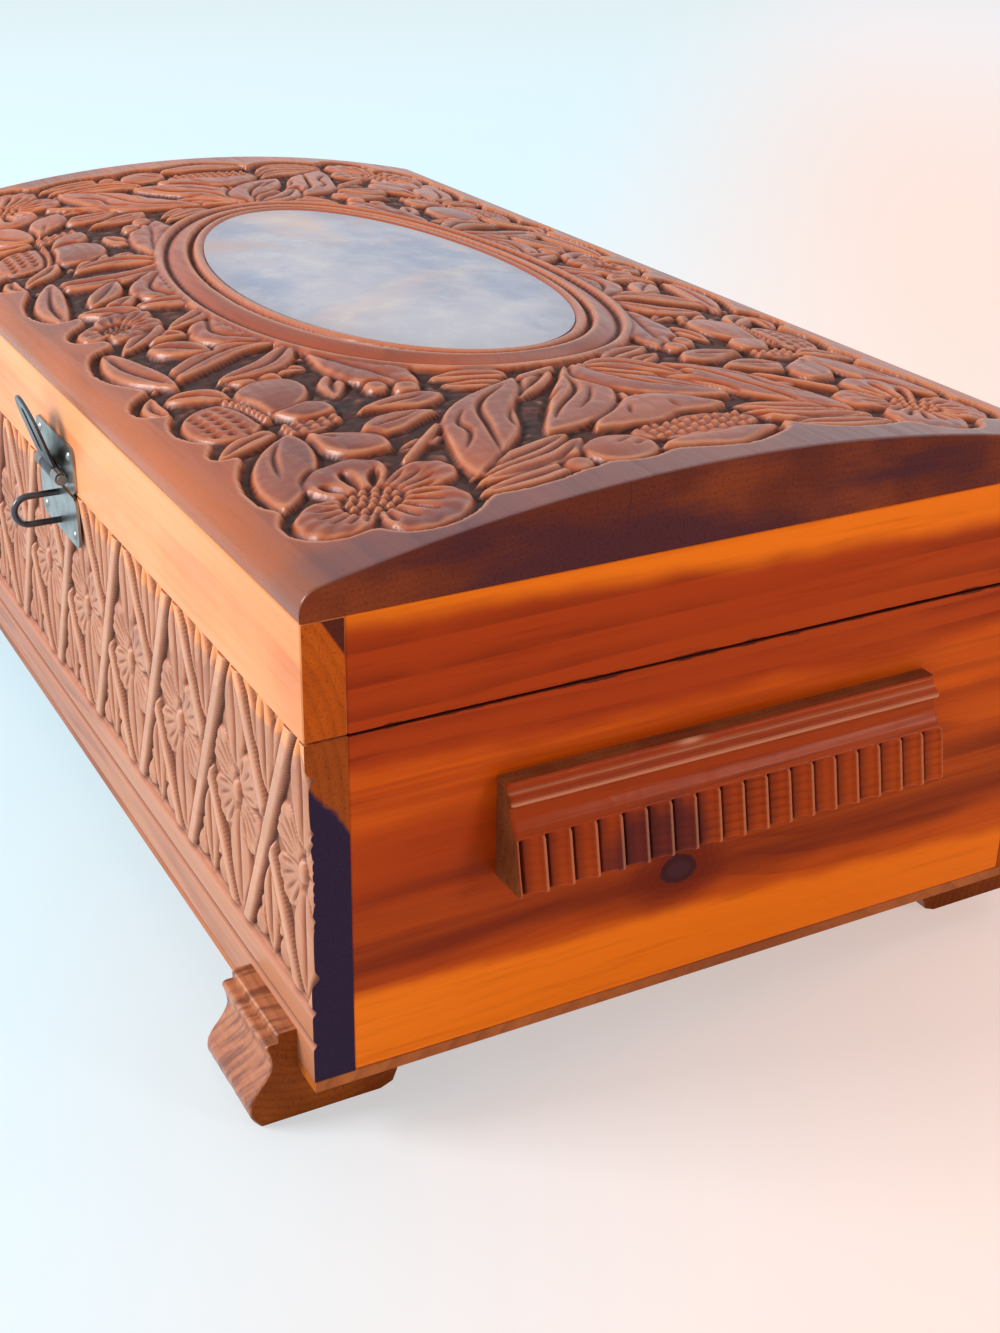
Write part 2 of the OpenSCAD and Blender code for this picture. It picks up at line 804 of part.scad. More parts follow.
// The strap hanging straight down from the pin, as when it is closed
module strap_closed() {
    w = hasp_knuckle_w / 2;
    difference() {
        union() {
            rod_x(-w, w, 0, 0, hasp_r);
            translate([0, sheet_t / 2, 0]) rotate([90, 0, 0]) linear_extrude(sheet_t) {
                translate([-w, -hasp_r - 2]) square([2 * w, hasp_r + 2]);
                translate([-strap_w / 2, strap_w / 2 - strap_len])
                    square([strap_w, strap_len - strap_w / 2 - hasp_r - 1]);
                translate([0, strap_w / 2 - strap_len]) circle(strap_w / 2);
            }
        }
        rod_x(-strap_w, strap_w, 0, 0, hasp_pin_r + pin_gap);
        rotate([90, 0, 0]) linear_extrude(4 * sheet_t, center = true) {
            translate([-slot_w / 2, -slot_out + slot_w / 2])
                square([slot_w, slot_out - slot_in - slot_w]);
            translate([0, -slot_out + slot_w / 2]) circle(slot_w / 2);
            translate([0, -slot_in - slot_w / 2]) circle(slot_w / 2);
        }
    }
}

module hasp_strap() {
    color("silver") translate([hasp_x, hasp_y, hasp_z])
        rotate([180 + strap_lean, 0, 0]) strap_closed();
}

module hasp_pin() {
    half = hasp_knuckle_w / 2 + knuckle_gap + hasp_side_w;
    color("gray") {
        rod_x(hasp_x - half - knuckle_gap, hasp_x + half + knuckle_gap, hasp_y, hasp_z, hasp_pin_r);
        for (side = [-1, 1])
            rod_x(hasp_x + side * (half + knuckle_gap + 0.4) - 0.4,
                  hasp_x + side * (half + knuckle_gap + 0.4) + 0.4,
                  hasp_y, hasp_z, hasp_r * 0.75);
    }
}

module staple_plate() {
    color("silver") difference() {
        front_plate(staple_plate_z, staple_plate_z + staple_plate_h, 2.5);
        staple_holes();
        plate_nail_holes(staple_nail_z(), sheet_t);
    }
}

// The wire staple: two legs through the plate and a bend that stands out of it
module wire_staple() {
    color("dimgray") {
        for (side = [-1, 1])
            translate([hasp_x, front_y + staple_root, staple_z + side * staple_bend])
                rotate([90, 0, 0])
                    cylinder(h = front_y + staple_root - staple_turn_y, r = wire_r);
        translate([hasp_x, staple_turn_y, staple_z]) rotate([0, 90, 0])
            rotate([0, 0, 180]) rotate_extrude(angle = 180)
                translate([staple_bend, 0]) circle(wire_r, $fn = 32);
    }
}

module staple_holes() {
    for (side = [-1, 1])
        translate([hasp_x, front_y - 2, staple_z + side * staple_bend]) rotate([-90, 0, 0])
            cylinder(h = staple_root + 2 + hole_gap, r = wire_r + hole_gap);
}

module plate_nails(z) {
    for (x = [-plate_nail_x, plate_nail_x])
        translate([hasp_x + x, front_y - sheet_t, z]) rotate([90, 0, 0])
            fastener(nail_len + sheet_t, nail_r, nail_head_r, nail_head_h);
}

// Nail holes through a plate and down into the board behind it
module plate_nail_holes(z, into) {
    for (x = [-plate_nail_x, plate_nail_x])
        translate([hasp_x + x, front_y - 2, z]) rotate([-90, 0, 0])
            cylinder(h = into + 2 + hole_gap, r = nail_r + hole_gap);
}

module hasp_lid_nail_holes() {
    plate_nail_holes(lid_nail_z(), nail_len);
}

module staple_plate_nail_holes() {
    plate_nail_holes(staple_nail_z(), nail_len);
}

module hasp_lid_nails() {
    color("gray") plate_nails(lid_nail_z());
}

module staple_plate_nails() {
    color("gray") plate_nails(staple_nail_z());
}

// ---- Screws and nails in the wood ----

// Each handle is held by two screws driven from inside the case
module at_handle_screws() {
    for (side = [-1, 1], y = [-handle_screw_x, handle_screw_x])
        translate([side * inner_x, mid_y + y, handle_screw_z]) rotate([0, -side * 90, 0])
            children();
}

module handle_screws() {
    color("gray") at_handle_screws()
        fastener(handle_screw_len, screw_r, screw_head_r, screw_head_h);
}

module handle_screw_holes() {
    at_handle_screws() translate([0, 0, -handle_screw_len - hole_gap])
        cylinder(h = handle_screw_len + 2, r = screw_r + hole_gap);
}

// Each foot is held by one screw driven up from a sunk hole in its sole
module at_foot_screws() {
    for (side = [-1, 1], y = [front_y + foot_screw_in, back_y - foot_screw_in])
        translate([side * (end_x - foot_inset - foot_len / 2), y, foot_screw_sink])
            rotate([180, 0, 0]) children();
}

module foot_screws() {
    color("gray") at_foot_screws()
        fastener(foot_screw_len, screw_r, screw_head_r, screw_head_h);
}

module foot_screw_holes() {
    at_foot_screws() {
        translate([0, 0, -foot_screw_len - hole_gap])
            cylinder(h = foot_screw_len + 2 * hole_gap, r = screw_r + hole_gap);
        cylinder(h = foot_screw_sink + 1, r = screw_head_r + hole_gap);
    }
}

// Nails hold the base board up against the walls, between the feet
module at_base_nails() {
    long = end_x - foot_inset - foot_len * 1.5;
    short = box_depth / 2 - foot_under * 1.6;
    for (i = [-2 : 2], y = [front_y + board_t / 2, back_y - board_t / 2])
        translate([i * long / 2, y, base_z]) rotate([180, 0, 0]) children();
    for (side = [-1, 1], i = [-1 : 1])
        translate([side * (end_x - board_t / 2), mid_y + i * short, base_z])
            rotate([180, 0, 0]) children();
}

module base_nails() {
    color("gray") at_base_nails() fastener(base_t + nail_len, nail_r, nail_head_r, nail_head_h);
}

module base_nail_holes() {
    at_base_nails() translate([0, 0, -base_t - nail_len - hole_gap])
        cylinder(h = base_t + nail_len + 2, r = nail_r + hole_gap);
}

front_panel();
back_panel();
left_end_panel();
right_end_panel();
base_board();
front_left_foot();
front_right_foot();
back_left_foot();
back_right_foot();
left_handle();
right_handle();
lid_top_board();
lid_front_rail();
lid_back_rail();
lid_left_rail();
lid_right_rail();
oval_print();
left_hinge_case_leaf();
right_hinge_case_leaf();
left_hinge_lid_leaf();
right_hinge_lid_leaf();
left_hinge_pin();
right_hinge_pin();
hinge_case_screws();
hinge_lid_screws();
hasp_lid_plate();
hasp_strap();
hasp_pin();
staple_plate();
wire_staple();
hasp_lid_nails();
staple_plate_nails();
handle_screws();
foot_screws();
base_nails();
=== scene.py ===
"""Looks, camera and studio for the keepsake box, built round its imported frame.

Lengths in the carving are millimetres; everything handed to Blender is metres.
"""

from functools import cached_property
from math import atan2, cos, pi, radians, sin, sqrt

import bmesh
import bpy
import numpy as np
from mathutils import Matrix, Vector


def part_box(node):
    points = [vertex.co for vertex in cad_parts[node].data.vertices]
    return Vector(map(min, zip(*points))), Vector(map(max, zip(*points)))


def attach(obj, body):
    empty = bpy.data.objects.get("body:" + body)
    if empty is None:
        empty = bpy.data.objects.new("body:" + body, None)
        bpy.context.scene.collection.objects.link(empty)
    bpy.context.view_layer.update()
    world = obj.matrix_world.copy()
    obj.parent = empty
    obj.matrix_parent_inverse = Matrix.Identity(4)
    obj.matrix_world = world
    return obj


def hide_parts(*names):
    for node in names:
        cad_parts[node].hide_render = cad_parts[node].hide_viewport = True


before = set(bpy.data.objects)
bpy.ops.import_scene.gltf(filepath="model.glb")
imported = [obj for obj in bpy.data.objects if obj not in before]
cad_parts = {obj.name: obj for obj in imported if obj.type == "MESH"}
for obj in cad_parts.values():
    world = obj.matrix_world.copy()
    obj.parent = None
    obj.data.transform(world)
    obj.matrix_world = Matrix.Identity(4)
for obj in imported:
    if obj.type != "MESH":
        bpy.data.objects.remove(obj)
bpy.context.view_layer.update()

MM = 0.001
rng = np.random.default_rng(41)


def box_mm(node):
    lo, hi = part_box(node)
    return np.array(lo) / MM, np.array(hi) / MM


FRONT_LO, FRONT_HI = box_mm("front_panel")
TOP_LO, TOP_HI = box_mm("lid_top_board")
END_X = FRONT_HI[0]
FRONT_Y = FRONT_LO[1]
BACK_Y = box_mm("back_panel")[1][1]
MID_Y = (FRONT_Y + BACK_Y) / 2
CASE_Z, CASE_TOP = FRONT_LO[2], FRONT_HI[2]
LENGTH, DEPTH, BOARD = 360, 200, 9.5
ARCH_R = 422.67
ARCH_Z = TOP_HI[2] - ARCH_R
ROUND = 5.5
PRINT_A, PRINT_B = 87.0, 42.0


# ---- Meshes ----


def smooth_noise(shape, sigma, step=1.0):
    """Seeded noise of about unit size, blurred to a grain of the given width."""
    n = blur(rng.standard_normal(shape), sigma / step)
    return n / max(n.std(), 1e-9)


def blur(a, sigma):
    """Gaussian blur in frequency space, with the edges carried outward."""
    pad = int(3 * sigma) + 2
    p = np.pad(a, pad, mode="edge")
    fy = np.fft.fftfreq(p.shape[0])[:, None]
    fx = np.fft.rfftfreq(p.shape[1])[None, :]
    k = np.exp(-2 * (pi * sigma) ** 2 * (fx**2 + fy**2))
    q = np.fft.irfft2(np.fft.rfft2(p) * k, s=p.shape)
    return q[pad:-pad, pad:-pad]


def ease(t):
    """A soft step from 0 to 1."""
    t = np.clip(t, 0, 1)
    return t * t * (3 - 2 * t)


def linked(name, data):
    """A new object in the scene."""
    obj = bpy.data.objects.new(name, data)
    bpy.context.scene.collection.objects.link(obj)
    return obj


def new_mesh(name, verts, faces, smooth, sides=None):
    """An object from points in millimetres; sides gives each face's material slot."""
    mesh = bpy.data.meshes.new(name)
    mesh.from_pydata((np.asarray(verts) * MM).tolist(), [], faces)
    if sides is not None:
        mesh.polygons.foreach_set("material_index", np.asarray(sides, np.int32))
    mesh.polygons.foreach_set("use_smooth", np.asarray(smooth, bool))
    mesh.validate()
    mesh.update()
    return linked(name, mesh)


def relief(name, pts, corners, marks):
    """A solid with a grid of points for its face, flat walls and a flat back.

    pts is rows x columns x 3. corners are the back's corners under the grid's four:
    first row's first and last column, then the last row's last and first. The face has
    material slot 0, the long walls and the back 1, the walls at the rows' ends 2.
    """
    nv, nu = pts.shape[:2]
    verts = np.vstack([pts.reshape(-1, 3), np.asarray(corners, float)])
    k = np.arange(nv * nu).reshape(nv, nu)
    quads = np.stack([k[:-1, :-1], k[:-1, 1:], k[1:, 1:], k[1:, :-1]], -1).reshape(-1, 4)
    c = nv * nu
    walls = [
        [c, c + 1] + k[0, ::-1].tolist(),
        [c + 1, c + 2] + k[::-1, -1].tolist(),
        [c + 2, c + 3] + k[-1, :].tolist(),
        [c + 3, c] + k[:, 0].tolist(),
        [c + 3, c + 2, c + 1, c],
    ]
    n = len(quads)
    sides = [0] * n + [1, 2, 1, 2, 1]
    obj = new_mesh(name, verts, quads.tolist() + walls, [True] * n + [False] * 5, sides)
    for key, values in marks.items():
        att = obj.data.attributes.new(key, "FLOAT", "POINT")
        att.data.foreach_set("value", np.concatenate([values.ravel(), np.zeros(4)]).astype(np.float32))
    return obj


def carving_marks(h, step, deep, reach, least, most):
    """Where a carving is hollow, crested and steep: hollows take stain and painted shade, crests a painted highlight
    and wear, steep flanks a painted lit colour.
    """
    gy, gx = np.gradient(blur(h, 0.3 / step), step)
    hollow = np.clip((blur(h, reach / step) - h - least) / (most - least), 0, 1)
    hollow = np.maximum(hollow, np.clip((-deep - h) / 0.5, 0, 1))
    crest = np.clip((h - blur(h, 0.9 / step) - 0.08) / 0.3, 0, 1)
    return {"hollow": hollow, "crest": crest, "steep": np.clip((np.hypot(gx, gy) - 0.22) / 0.6, 0, 1)}


def plank(name, node, arris=0.5, steps=24):
    """A board from a node's box, its long edges eased a little unevenly, as by sanding."""
    lo, hi = box_mm(node)
    size = hi - lo
    axis = int(np.argmax(size))
    a, b = [i for i in range(3) if i != axis]
    s = np.linspace(lo[axis] + arris * 0.7, hi[axis] - arris * 0.7, steps)
    s = np.concatenate([[lo[axis]], s, [hi[axis]]])
    eased = np.clip(smooth_noise((4, len(s)), 2.0) * 0.3 + 1, 0.45, 1.9) * arris
    turn = np.linspace(0, pi / 2, 4)
    rings = []
    for i, at in enumerate(s):
        shrink = arris * 0.5 if i in (0, len(s) - 1) else 0
        ring = []
        for q in range(4):
            r = eased[q, i]
            ca = (hi[a] - r - shrink) if q in (0, 3) else (lo[a] + r + shrink)
            cb = (hi[b] - r - shrink) if q in (0, 1) else (lo[b] + r + shrink)
            for t in turn:
                p = np.empty(3)
                p[axis] = at
                p[a] = ca + r * cos(t + q * pi / 2)
                p[b] = cb + r * sin(t + q * pi / 2)
                ring.append(p)
        rings.append(ring)
    return sweep(name, np.array(rings), flip=(axis == 1))


def side_slot(obj, direction, slot):
    """Gives the faces that look in one direction another material slot."""
    for face in obj.data.polygons:
        if face.normal.dot(Vector(direction)) > 0.9:
            face.material_index = slot


def sweep(name, rings, flip=False):
    """Skins a row of closed rings and caps both ends."""
    m, n = rings.shape[:2]
    faces = []
    for i in range(m - 1):
        for j in range(n):
            k = (j + 1) % n
            faces.append([i * n + j, i * n + k, (i + 1) * n + k, (i + 1) * n + j])
    faces.append(list(range(n))[::-1])
    faces.append(list(range((m - 1) * n, m * n)))
    if not flip:
        faces = [f[::-1] for f in faces]
    obj = new_mesh(name, rings.reshape(-1, 3), faces, [False] * len(faces))
    bm = bmesh.new()
    bm.from_mesh(obj.data)
    bmesh.ops.recalc_face_normals(bm, faces=bm.faces)
    bm.to_mesh(obj.data)
    bm.free()
    return obj


# ---- Carving: one motif after another over a grid of heights; points may be written flat: u, v, u, v ----


class Carving:
    """Heights over a grid of u and v, in millimetres.

    floor is the deepest a motif's own moat is dug, fine the scale of its moat and rim.
    """

    def __init__(self, u0, u1, v0, v1, step, floor=-3.2, fine=1.0):
        self.u0, self.v0 = u0, v0
        self.nu, self.nv = round((u1 - u0) / step), round((v1 - v0) / step)
        self.du, self.dv = (u1 - u0) / self.nu, (v1 - v0) / self.nv
        self.u, self.v = np.meshgrid(u0 + self.du * np.arange(self.nu + 1), v0 + self.dv * np.arange(self.nv + 1))
        self.h = np.zeros(self.u.shape)
        self.floor, self.fine = floor, fine
        self.shape = np.zeros(self.h.shape, bool)

    def window(self, points, margin):
        """The part of the grid round some points, with its u and v; empty if they lie outside."""
        p = np.reshape(points, (-1, 2))
        lo, hi = p.min(0) - margin, p.max(0) + margin
        i0 = max(0, int((lo[0] - self.u0) / self.du))
        i1 = min(self.nu, int((hi[0] - self.u0) / self.du) + 1)
        j0 = max(0, int((lo[1] - self.v0) / self.dv))
        j1 = min(self.nv, int((hi[1] - self.v0) / self.dv) + 1)
        if i1 <= i0 or j1 <= j0:
            i0, i1 = 0, -1
        at = (slice(j0, j1 + 1), slice(i0, i1 + 1))
        return at, self.u[at], self.v[at]

    def place(self, at, inside, height, gap=1.2, cut=1.3):
        """Lays a motif over the grid; inside is the distance in from its outline."""
        h = self.h[at]
        gap, cut, edge = gap * self.fine, cut * self.fine, 0.9 * self.fine
        dug = h - cut * np.clip(1 + inside / gap, 0, 1) * (inside < 0.3)
        dug = np.maximum(dug, np.minimum(h, self.floor))
        raised = height - edge * (1 - np.clip(inside / edge, 0, 1)) ** 2.5
        h[:] = dug + (raised - dug) * ease((inside + 0.5 * self.fine) / self.fine)
        self.shape[at] |= inside > 0


def curve(points, n):
    """Points along a smooth curve through the given ones, and its tangents."""
    p = np.reshape(points, (-1, 2))
    if len(p) == 2:
        t = np.linspace(0, 1, n)[:, None]
        c = p[0] * (1 - t) + p[1] * t
    else:
        q = np.vstack([2 * p[0] - p[1], p, 2 * p[-1] - p[-2]])
        t = np.linspace(0, len(p) - 1 - 1e-9, n)
        i = t.astype(int)
        s = (t - i)[:, None]
        a, b, d, e = q[i], q[i + 1], q[i + 2], q[i + 3]
        c = 0.5 * (2 * b + (d - a) * s + (2 * a - 5 * b + 4 * d - e) * s**2 + (3 * b - a - 3 * d + e) * s**3)
    g = np.gradient(c, axis=0)
    return c, g / np.maximum(np.linalg.norm(g, axis=1, keepdims=True), 1e-9)


def along(u, v, points, n=48):
    """How far along the curve each place is, 0 to 1, how far left of it and past its ends, and its length."""
    c, g = curve(points, n)
    run = np.concatenate([[0], np.cumsum(np.linalg.norm(np.diff(c, axis=0), axis=1))])
    best = np.full(u.shape, 1e9)
    t, side = np.zeros(u.shape), np.zeros(u.shape)
    for k in range(n):
        du, dv = u - c[k, 0], v - c[k, 1]
        d2 = du * du + dv * dv
        nearer = d2 < best
        best = np.where(nearer, d2, best)
        t = np.where(nearer, run[k] + du * g[k, 0] + dv * g[k, 1], t)
        side = np.where(nearer, dv * g[k, 0] - du * g[k, 1], side)
    t = t / run[-1]
    return np.clip(t, 0, 1), side, np.maximum(np.maximum(-t, t - 1), 0) * run[-1], run[-1]


def bulge(s, widest):
    """Half a wave over s, its crest at the given share of the way."""
    return np.sin(pi * s ** (np.log(0.5) / np.log(widest)))


def leaf(c, points, width, top=-0.3, crown=0.7, wide=0.42, tilt=0.0, blunt=0.7, waves=0, vein=0.9, veins=0):
    """A domed leaf round a curve, with a vein cut along it; waves ripple its outline."""
    at, u, v = c.window(points, width)
    s, side, past, length = along(u, v, points)
    half = width / 2 * bulge(s, wide) ** blunt
    if waves:
        half = half * (1 + 0.12 * np.cos(2 * pi * waves * s + np.where(side > 0, 0.4, 2.6)))
    inside = np.where(past > 0, -np.hypot(past, side), half - abs(side))
    x = np.clip(side / np.maximum(half, 0.3), -1, 1)
    lobe = np.abs(2 * np.abs(x) - 1) ** 2 if vein else np.abs(x) ** 2.2
    z = top - crown * lobe * np.where(np.abs(x) < 0.5, 0.6, 1.0) + tilt * side / width - 0.5 * (2 * s - 1) ** 4
    if veins:
        phase = (s * length - 0.8 * abs(side)) * veins
        z = z - 0.22 * (0.5 + 0.5 * np.cos(2 * pi * phase)) ** 3 * np.clip(abs(x) * 3, 0, 1)
    if vein:
        line = (0.35 + 0.65 * np.sin(pi * np.clip(s / 0.86, 0, 1))) * (s < 0.86)
        z = z - 1.2 * vein * np.exp(-((side / 0.7) ** 2)) * line
    c.place(at, inside, z)


def cut(c, points, width, depth, drop=0.5):
    """A gouge cut along a curve, widest at drop of its length and pointed at both ends."""
    at, u, v = c.window(points, width + 1)
    s, side, past, _ = along(u, v, points)
    half = np.maximum(width / 2 * bulge(s, drop) ** 0.6, 0.05)
    x = np.hypot(side, past) / half
    c.h[at] -= depth * np.clip(1 - x**1.6, 0, 1) * np.minimum(half / (width / 2), 1) ** 0.5


def bud(c, u0, v0, a, b, angle=0.0, top=-0.2, dome=1.3):
    """A rounded bud: an ellipse with a domed top."""
    at, u, v = c.window([(u0, v0)], max(a, b) + 2)
    ca, sa = cos(radians(angle)), sin(radians(angle))
    x, y = ((u - u0) * ca + (v - v0) * sa) / a, (-(u - u0) * sa + (v - v0) * ca) / b
    r = np.sqrt(x * x + y * y)
    c.place(at, (1 - r) * min(a, b), top - dome * r**2)


def stem(c, points, width, top):
    """A round stalk along a curve."""
    at, u, v = c.window(points, width + 1)
    _, side, past, _ = along(u, v, points)
    z = top + 0.7 * (np.sqrt(np.clip(1 - (side / (width / 2)) ** 2, 0, 1)) - 1)
    c.place(at, width / 2 - np.hypot(side, past), z, 0.7, 0.5)


def petal(c, u0, v0, angle, length, spread, rays, ray_w, ray_d, top=-0.3, dish=1.1, blunt=0.3, reach=0.74, roll=0.8):
    """A petal that fans out from a flower's middle, with teardrop gouges and a rolled rim."""
    at, u, v = c.window([(u0, v0)], length + 2)
    du, dv = u - u0, v - v0
    r = np.hypot(du, dv)
    x = ((np.degrees(np.arctan2(dv, du)) - angle + 180) % 360 - 180) / spread
    rim = length * np.clip(1 - x * x, 0, 1) ** blunt
    q = np.clip(r / np.maximum(rim, 0.5), 0, 1)
    z = top - dish * (1 - q) ** 1.5 - roll * np.clip((q - 0.78) / 0.22, 0, 1) ** 2
    z = z - 0.25 * (0.5 + 0.5 * np.cos(2 * pi * x * (rays + 1) / 2)) * np.clip(q * 2, 0, 1)
    c.place(at, np.minimum(rim - r, (1 - abs(x)) * radians(spread) * r), z, 0.5, 0.7)
    for k in range(rays):
        x = 2 * (k + 0.5) / rays - 1
        turn = radians(angle + spread * 0.92 * x)
        tip = length * reach * (1 - 0.18 * abs(x))
        points = [(u0 + r * cos(turn), v0 + r * sin(turn)) for r in (0.22 * length, tip)]
        cut(c, points, ray_w, ray_d, 0.66)


def dots(c, spots, r, top, h):
    """Small round domes at the spots."""
    for u0, v0 in spots:
        at, u, v = c.window([(u0, v0)], r + 0.6)
        d = np.hypot(u - u0, v - v0)
        c.place(at, r - d, top - h * (d / r) ** 2, 0.5, 0.5)


def front_corner(c):
    """Flowers and leaves from the middle of a long side to its right corner."""
    # Small leaves that fill the ground, and two against the ring
    for width, top, *points in (
        (6, -1.1, -58, 71, -50, 58, -46, 50), (8, -1.0, -104, 56, -98, 50, -88, 47),
        (7, -1.0, -112, 50, -116, 40, -114, 27), (6, -1.2, -49, 44, -50, 52, -55, 60),
        (8, -1.0, -118, 52, -127, 50, -136, 54), (6, -0.9, -108, 12, -116, 10.5, -124, 13),
        (8, -0.7, -77, 87, -81, 78, -85, 69), (5.5, -0.9, -72.5, 85, -74.5, 77, -79.5, 69),
    ):
        leaf(c, points, width, top)
    leaf(c, [-122, 53, -108, 57, -95, 61, -79, 64], 15, top=-0.5, wide=0.55, veins=0.1, vein=0.6)
    bud(c, -82, 62, 4, 3.4, 20, top=-0.2, dome=0.8)
    bud(c, -87, 56.5, 4, 3, 10, top=-0.3, dome=0.8)
    # Blades above the corner flower
    leaf(c, [-35, 79, -29, 68, -24.5, 49], 8.5, top=-0.5, wide=0.55)
    leaf(c, [-31, 80, -21.5, 68, -20.5, 48], 7.5, top=-0.35, wide=0.5)
    leaf(c, [-18.5, 74, -15.5, 61, -15.5, 46], 7, top=-0.5, wide=0.5)
    # Two long leaves and the stalk of the corner flower
    leaf(c, [-76, 96, -69, 90, -60, 79], 7.5, top=-0.5, waves=1)
    stem(c, [-75, 97, -71, 83, -65, 71, -56, 58, -42, 43], 2.8, top=-0.5)
    leaf(c, [-73, 86, -60, 72, -45, 62, -24, 51], 17, top=-0.25, wide=0.5, waves=1.5, tilt=0.3, vein=0)
    cut(c, [-69, 81, -60, 70, -46, 65, -30, 60], 1.9, 1.6, 0.45)
    cut(c, [-60, 66, -53, 61, -45, 60, -36, 54], 1.5, 1.3)
    cut(c, [-57, 77, -49, 72, -41, 70], 1.5, 1.2)
    # Two drops, a bumpy calyx and its leaves
    leaf(c, [-75.5, 45, -74.5, 56, -71.5, 67], 10, vein=0, wide=0.68)
    cut(c, [-74.5, 48, -73.5, 62], 2.0, 1.3, 0.7)
    leaf(c, [-63, 61.5, -64, 51, -60.5, 41], 11, vein=0, wide=0.6)
    cut(c, [-64.5, 57, -63, 45], 1.8, 1.2, 0.6)
    bud(c, -77, 35.5, 5, 7.5, top=-0.8, dome=0.8)
    dots(c, [(-79.5 + 2.5 * (k % 3), 30 + 2.8 * (k // 3)) for k in range(15)], 1.3, -0.6, 0.5)
    leaf(c, [-71.5, 31.5, -62, 35.5, -50.5, 43.5], 12.5, top=-0.15, vein=0, wide=0.62, tilt=-0.4)
    cut(c, [-70, 33, -62, 36], 1.4, 0.9)
    leaf(c, [-78, 27.5, -77, 20, -73, 11], 8, top=-0.4)
    leaf(c, [-74, 28.5, -60, 22, -37.5, 13], 15, wide=0.45, tilt=0.3, vein=0)
    cut(c, [-72.5, 26, -64, 21, -51, 17.5], 1.6, 1.3)
    cut(c, [-53, 25.5, -46, 20.5], 2.2, 1.2)
    # Pod with a serrated rim
    leaf(c, [-91, 29, -86, 36, -79.5, 43], 11, top=-0.2, vein=0, wide=0.6)
    leaf(c, [-118, 30, -114, 36, -106, 42], 9, top=-0.6)
    bud(c, -100, 34.5, 11.5, 9.5, -12, top=0.0, dome=1.0)
    leaf(c, [-118, 14, -113, 22, -105, 27], 8, top=-0.4)
    bud(c, -93.5, 20, 12.5, 9, 8, top=-0.5, dome=0.8)
    scales = [(-101 + 3.6 * i + 1.5 * (j % 2), 15.3 + 3.3 * j + 0.2 * i) for i in range(6) for j in range(3)]
    for x, y in scales:
        if ((x + 93.5) / 11.5) ** 2 + ((y - 20) / 7.6) ** 2 < 1:
            cut(c, [(x - 1.2, y - 0.8), (x + 1.2, y + 0.8)], 2.2, 1.2)
    for k in range(9):
        x = -104.5 + 2.3 * k
        bud(c, x, 25.2 + 0.8 * k - 0.05 * k * k, 1.5, 0.9, 40, top=0.15, dome=0.4)
    # Corner flower
    for angle, length, spread, rays, ray_w in (
        (-74, 18.5, 56, 6, 1.5), (180, 23, 42, 3, 3.4), (104, 21, 34, 4, 1.7), (29, 23, 45, 5, 1.8)
    ):
        petal(c, -29, 29, angle, length, spread, rays=rays, ray_w=ray_w, ray_d=2.0 if ray_w > 3 else 1.3)
    stamens(c, -29, 29, 5.4)
    # Leaves and a small flower at the middle of the long side
    leaf(c, [-134, 53, -138, 38, -127, 14], 11, wide=0.5)
    leaf(c, [-131, 53, -120, 42, -119, 28], 10, top=-0.4, wide=0.5)
    leaf(c, [-169, 44, -153, 41, -137, 51], 13, top=-0.4, veins=0.1)
    leaf(c, [-178, 50, -171, 42, -166, 31], 9, top=-0.4)
    leaf(c, [-169, 23, -163, 28, -158, 35], 9, top=-0.15, vein=0.5)
    leaf(c, [-156, 23, -149, 29, -140, 35], 10, top=-0.15, vein=0.5)
    leaf(c, [-164, 13, -145, 14, -123, 20], 10, top=-0.4, wide=0.5)
    leaf(c, [-176, 31, -168, 27, -159, 17], 9, top=-0.4)
    for angle, length, spread in ((-90, 11, 62), (8, 12, 44), (58, 13, 38), (122, 13, 38)):
        petal(c, -180, 22, angle, length, spread, rays=3, ray_w=1.1, ray_d=0.9)
    stamens(c, -180, 22, 3.2)


def stamens(c, u0, v0, r):
    """A sunk cluster of round stamens."""
    bud(c, u0, v0, r + 0.6, r + 0.6, top=-1.9, dome=0.2)
    spots = [(u0, v0)]
    for ring, count in ((0.48, 6), (0.92, 11)):
        for k in range(count):
            a = 2 * pi * k / count + ring
            spots.append((u0 + r * ring * cos(a), v0 + r * ring * sin(a)))
    dots(c, spots, r * 0.235, -0.75, 0.7)


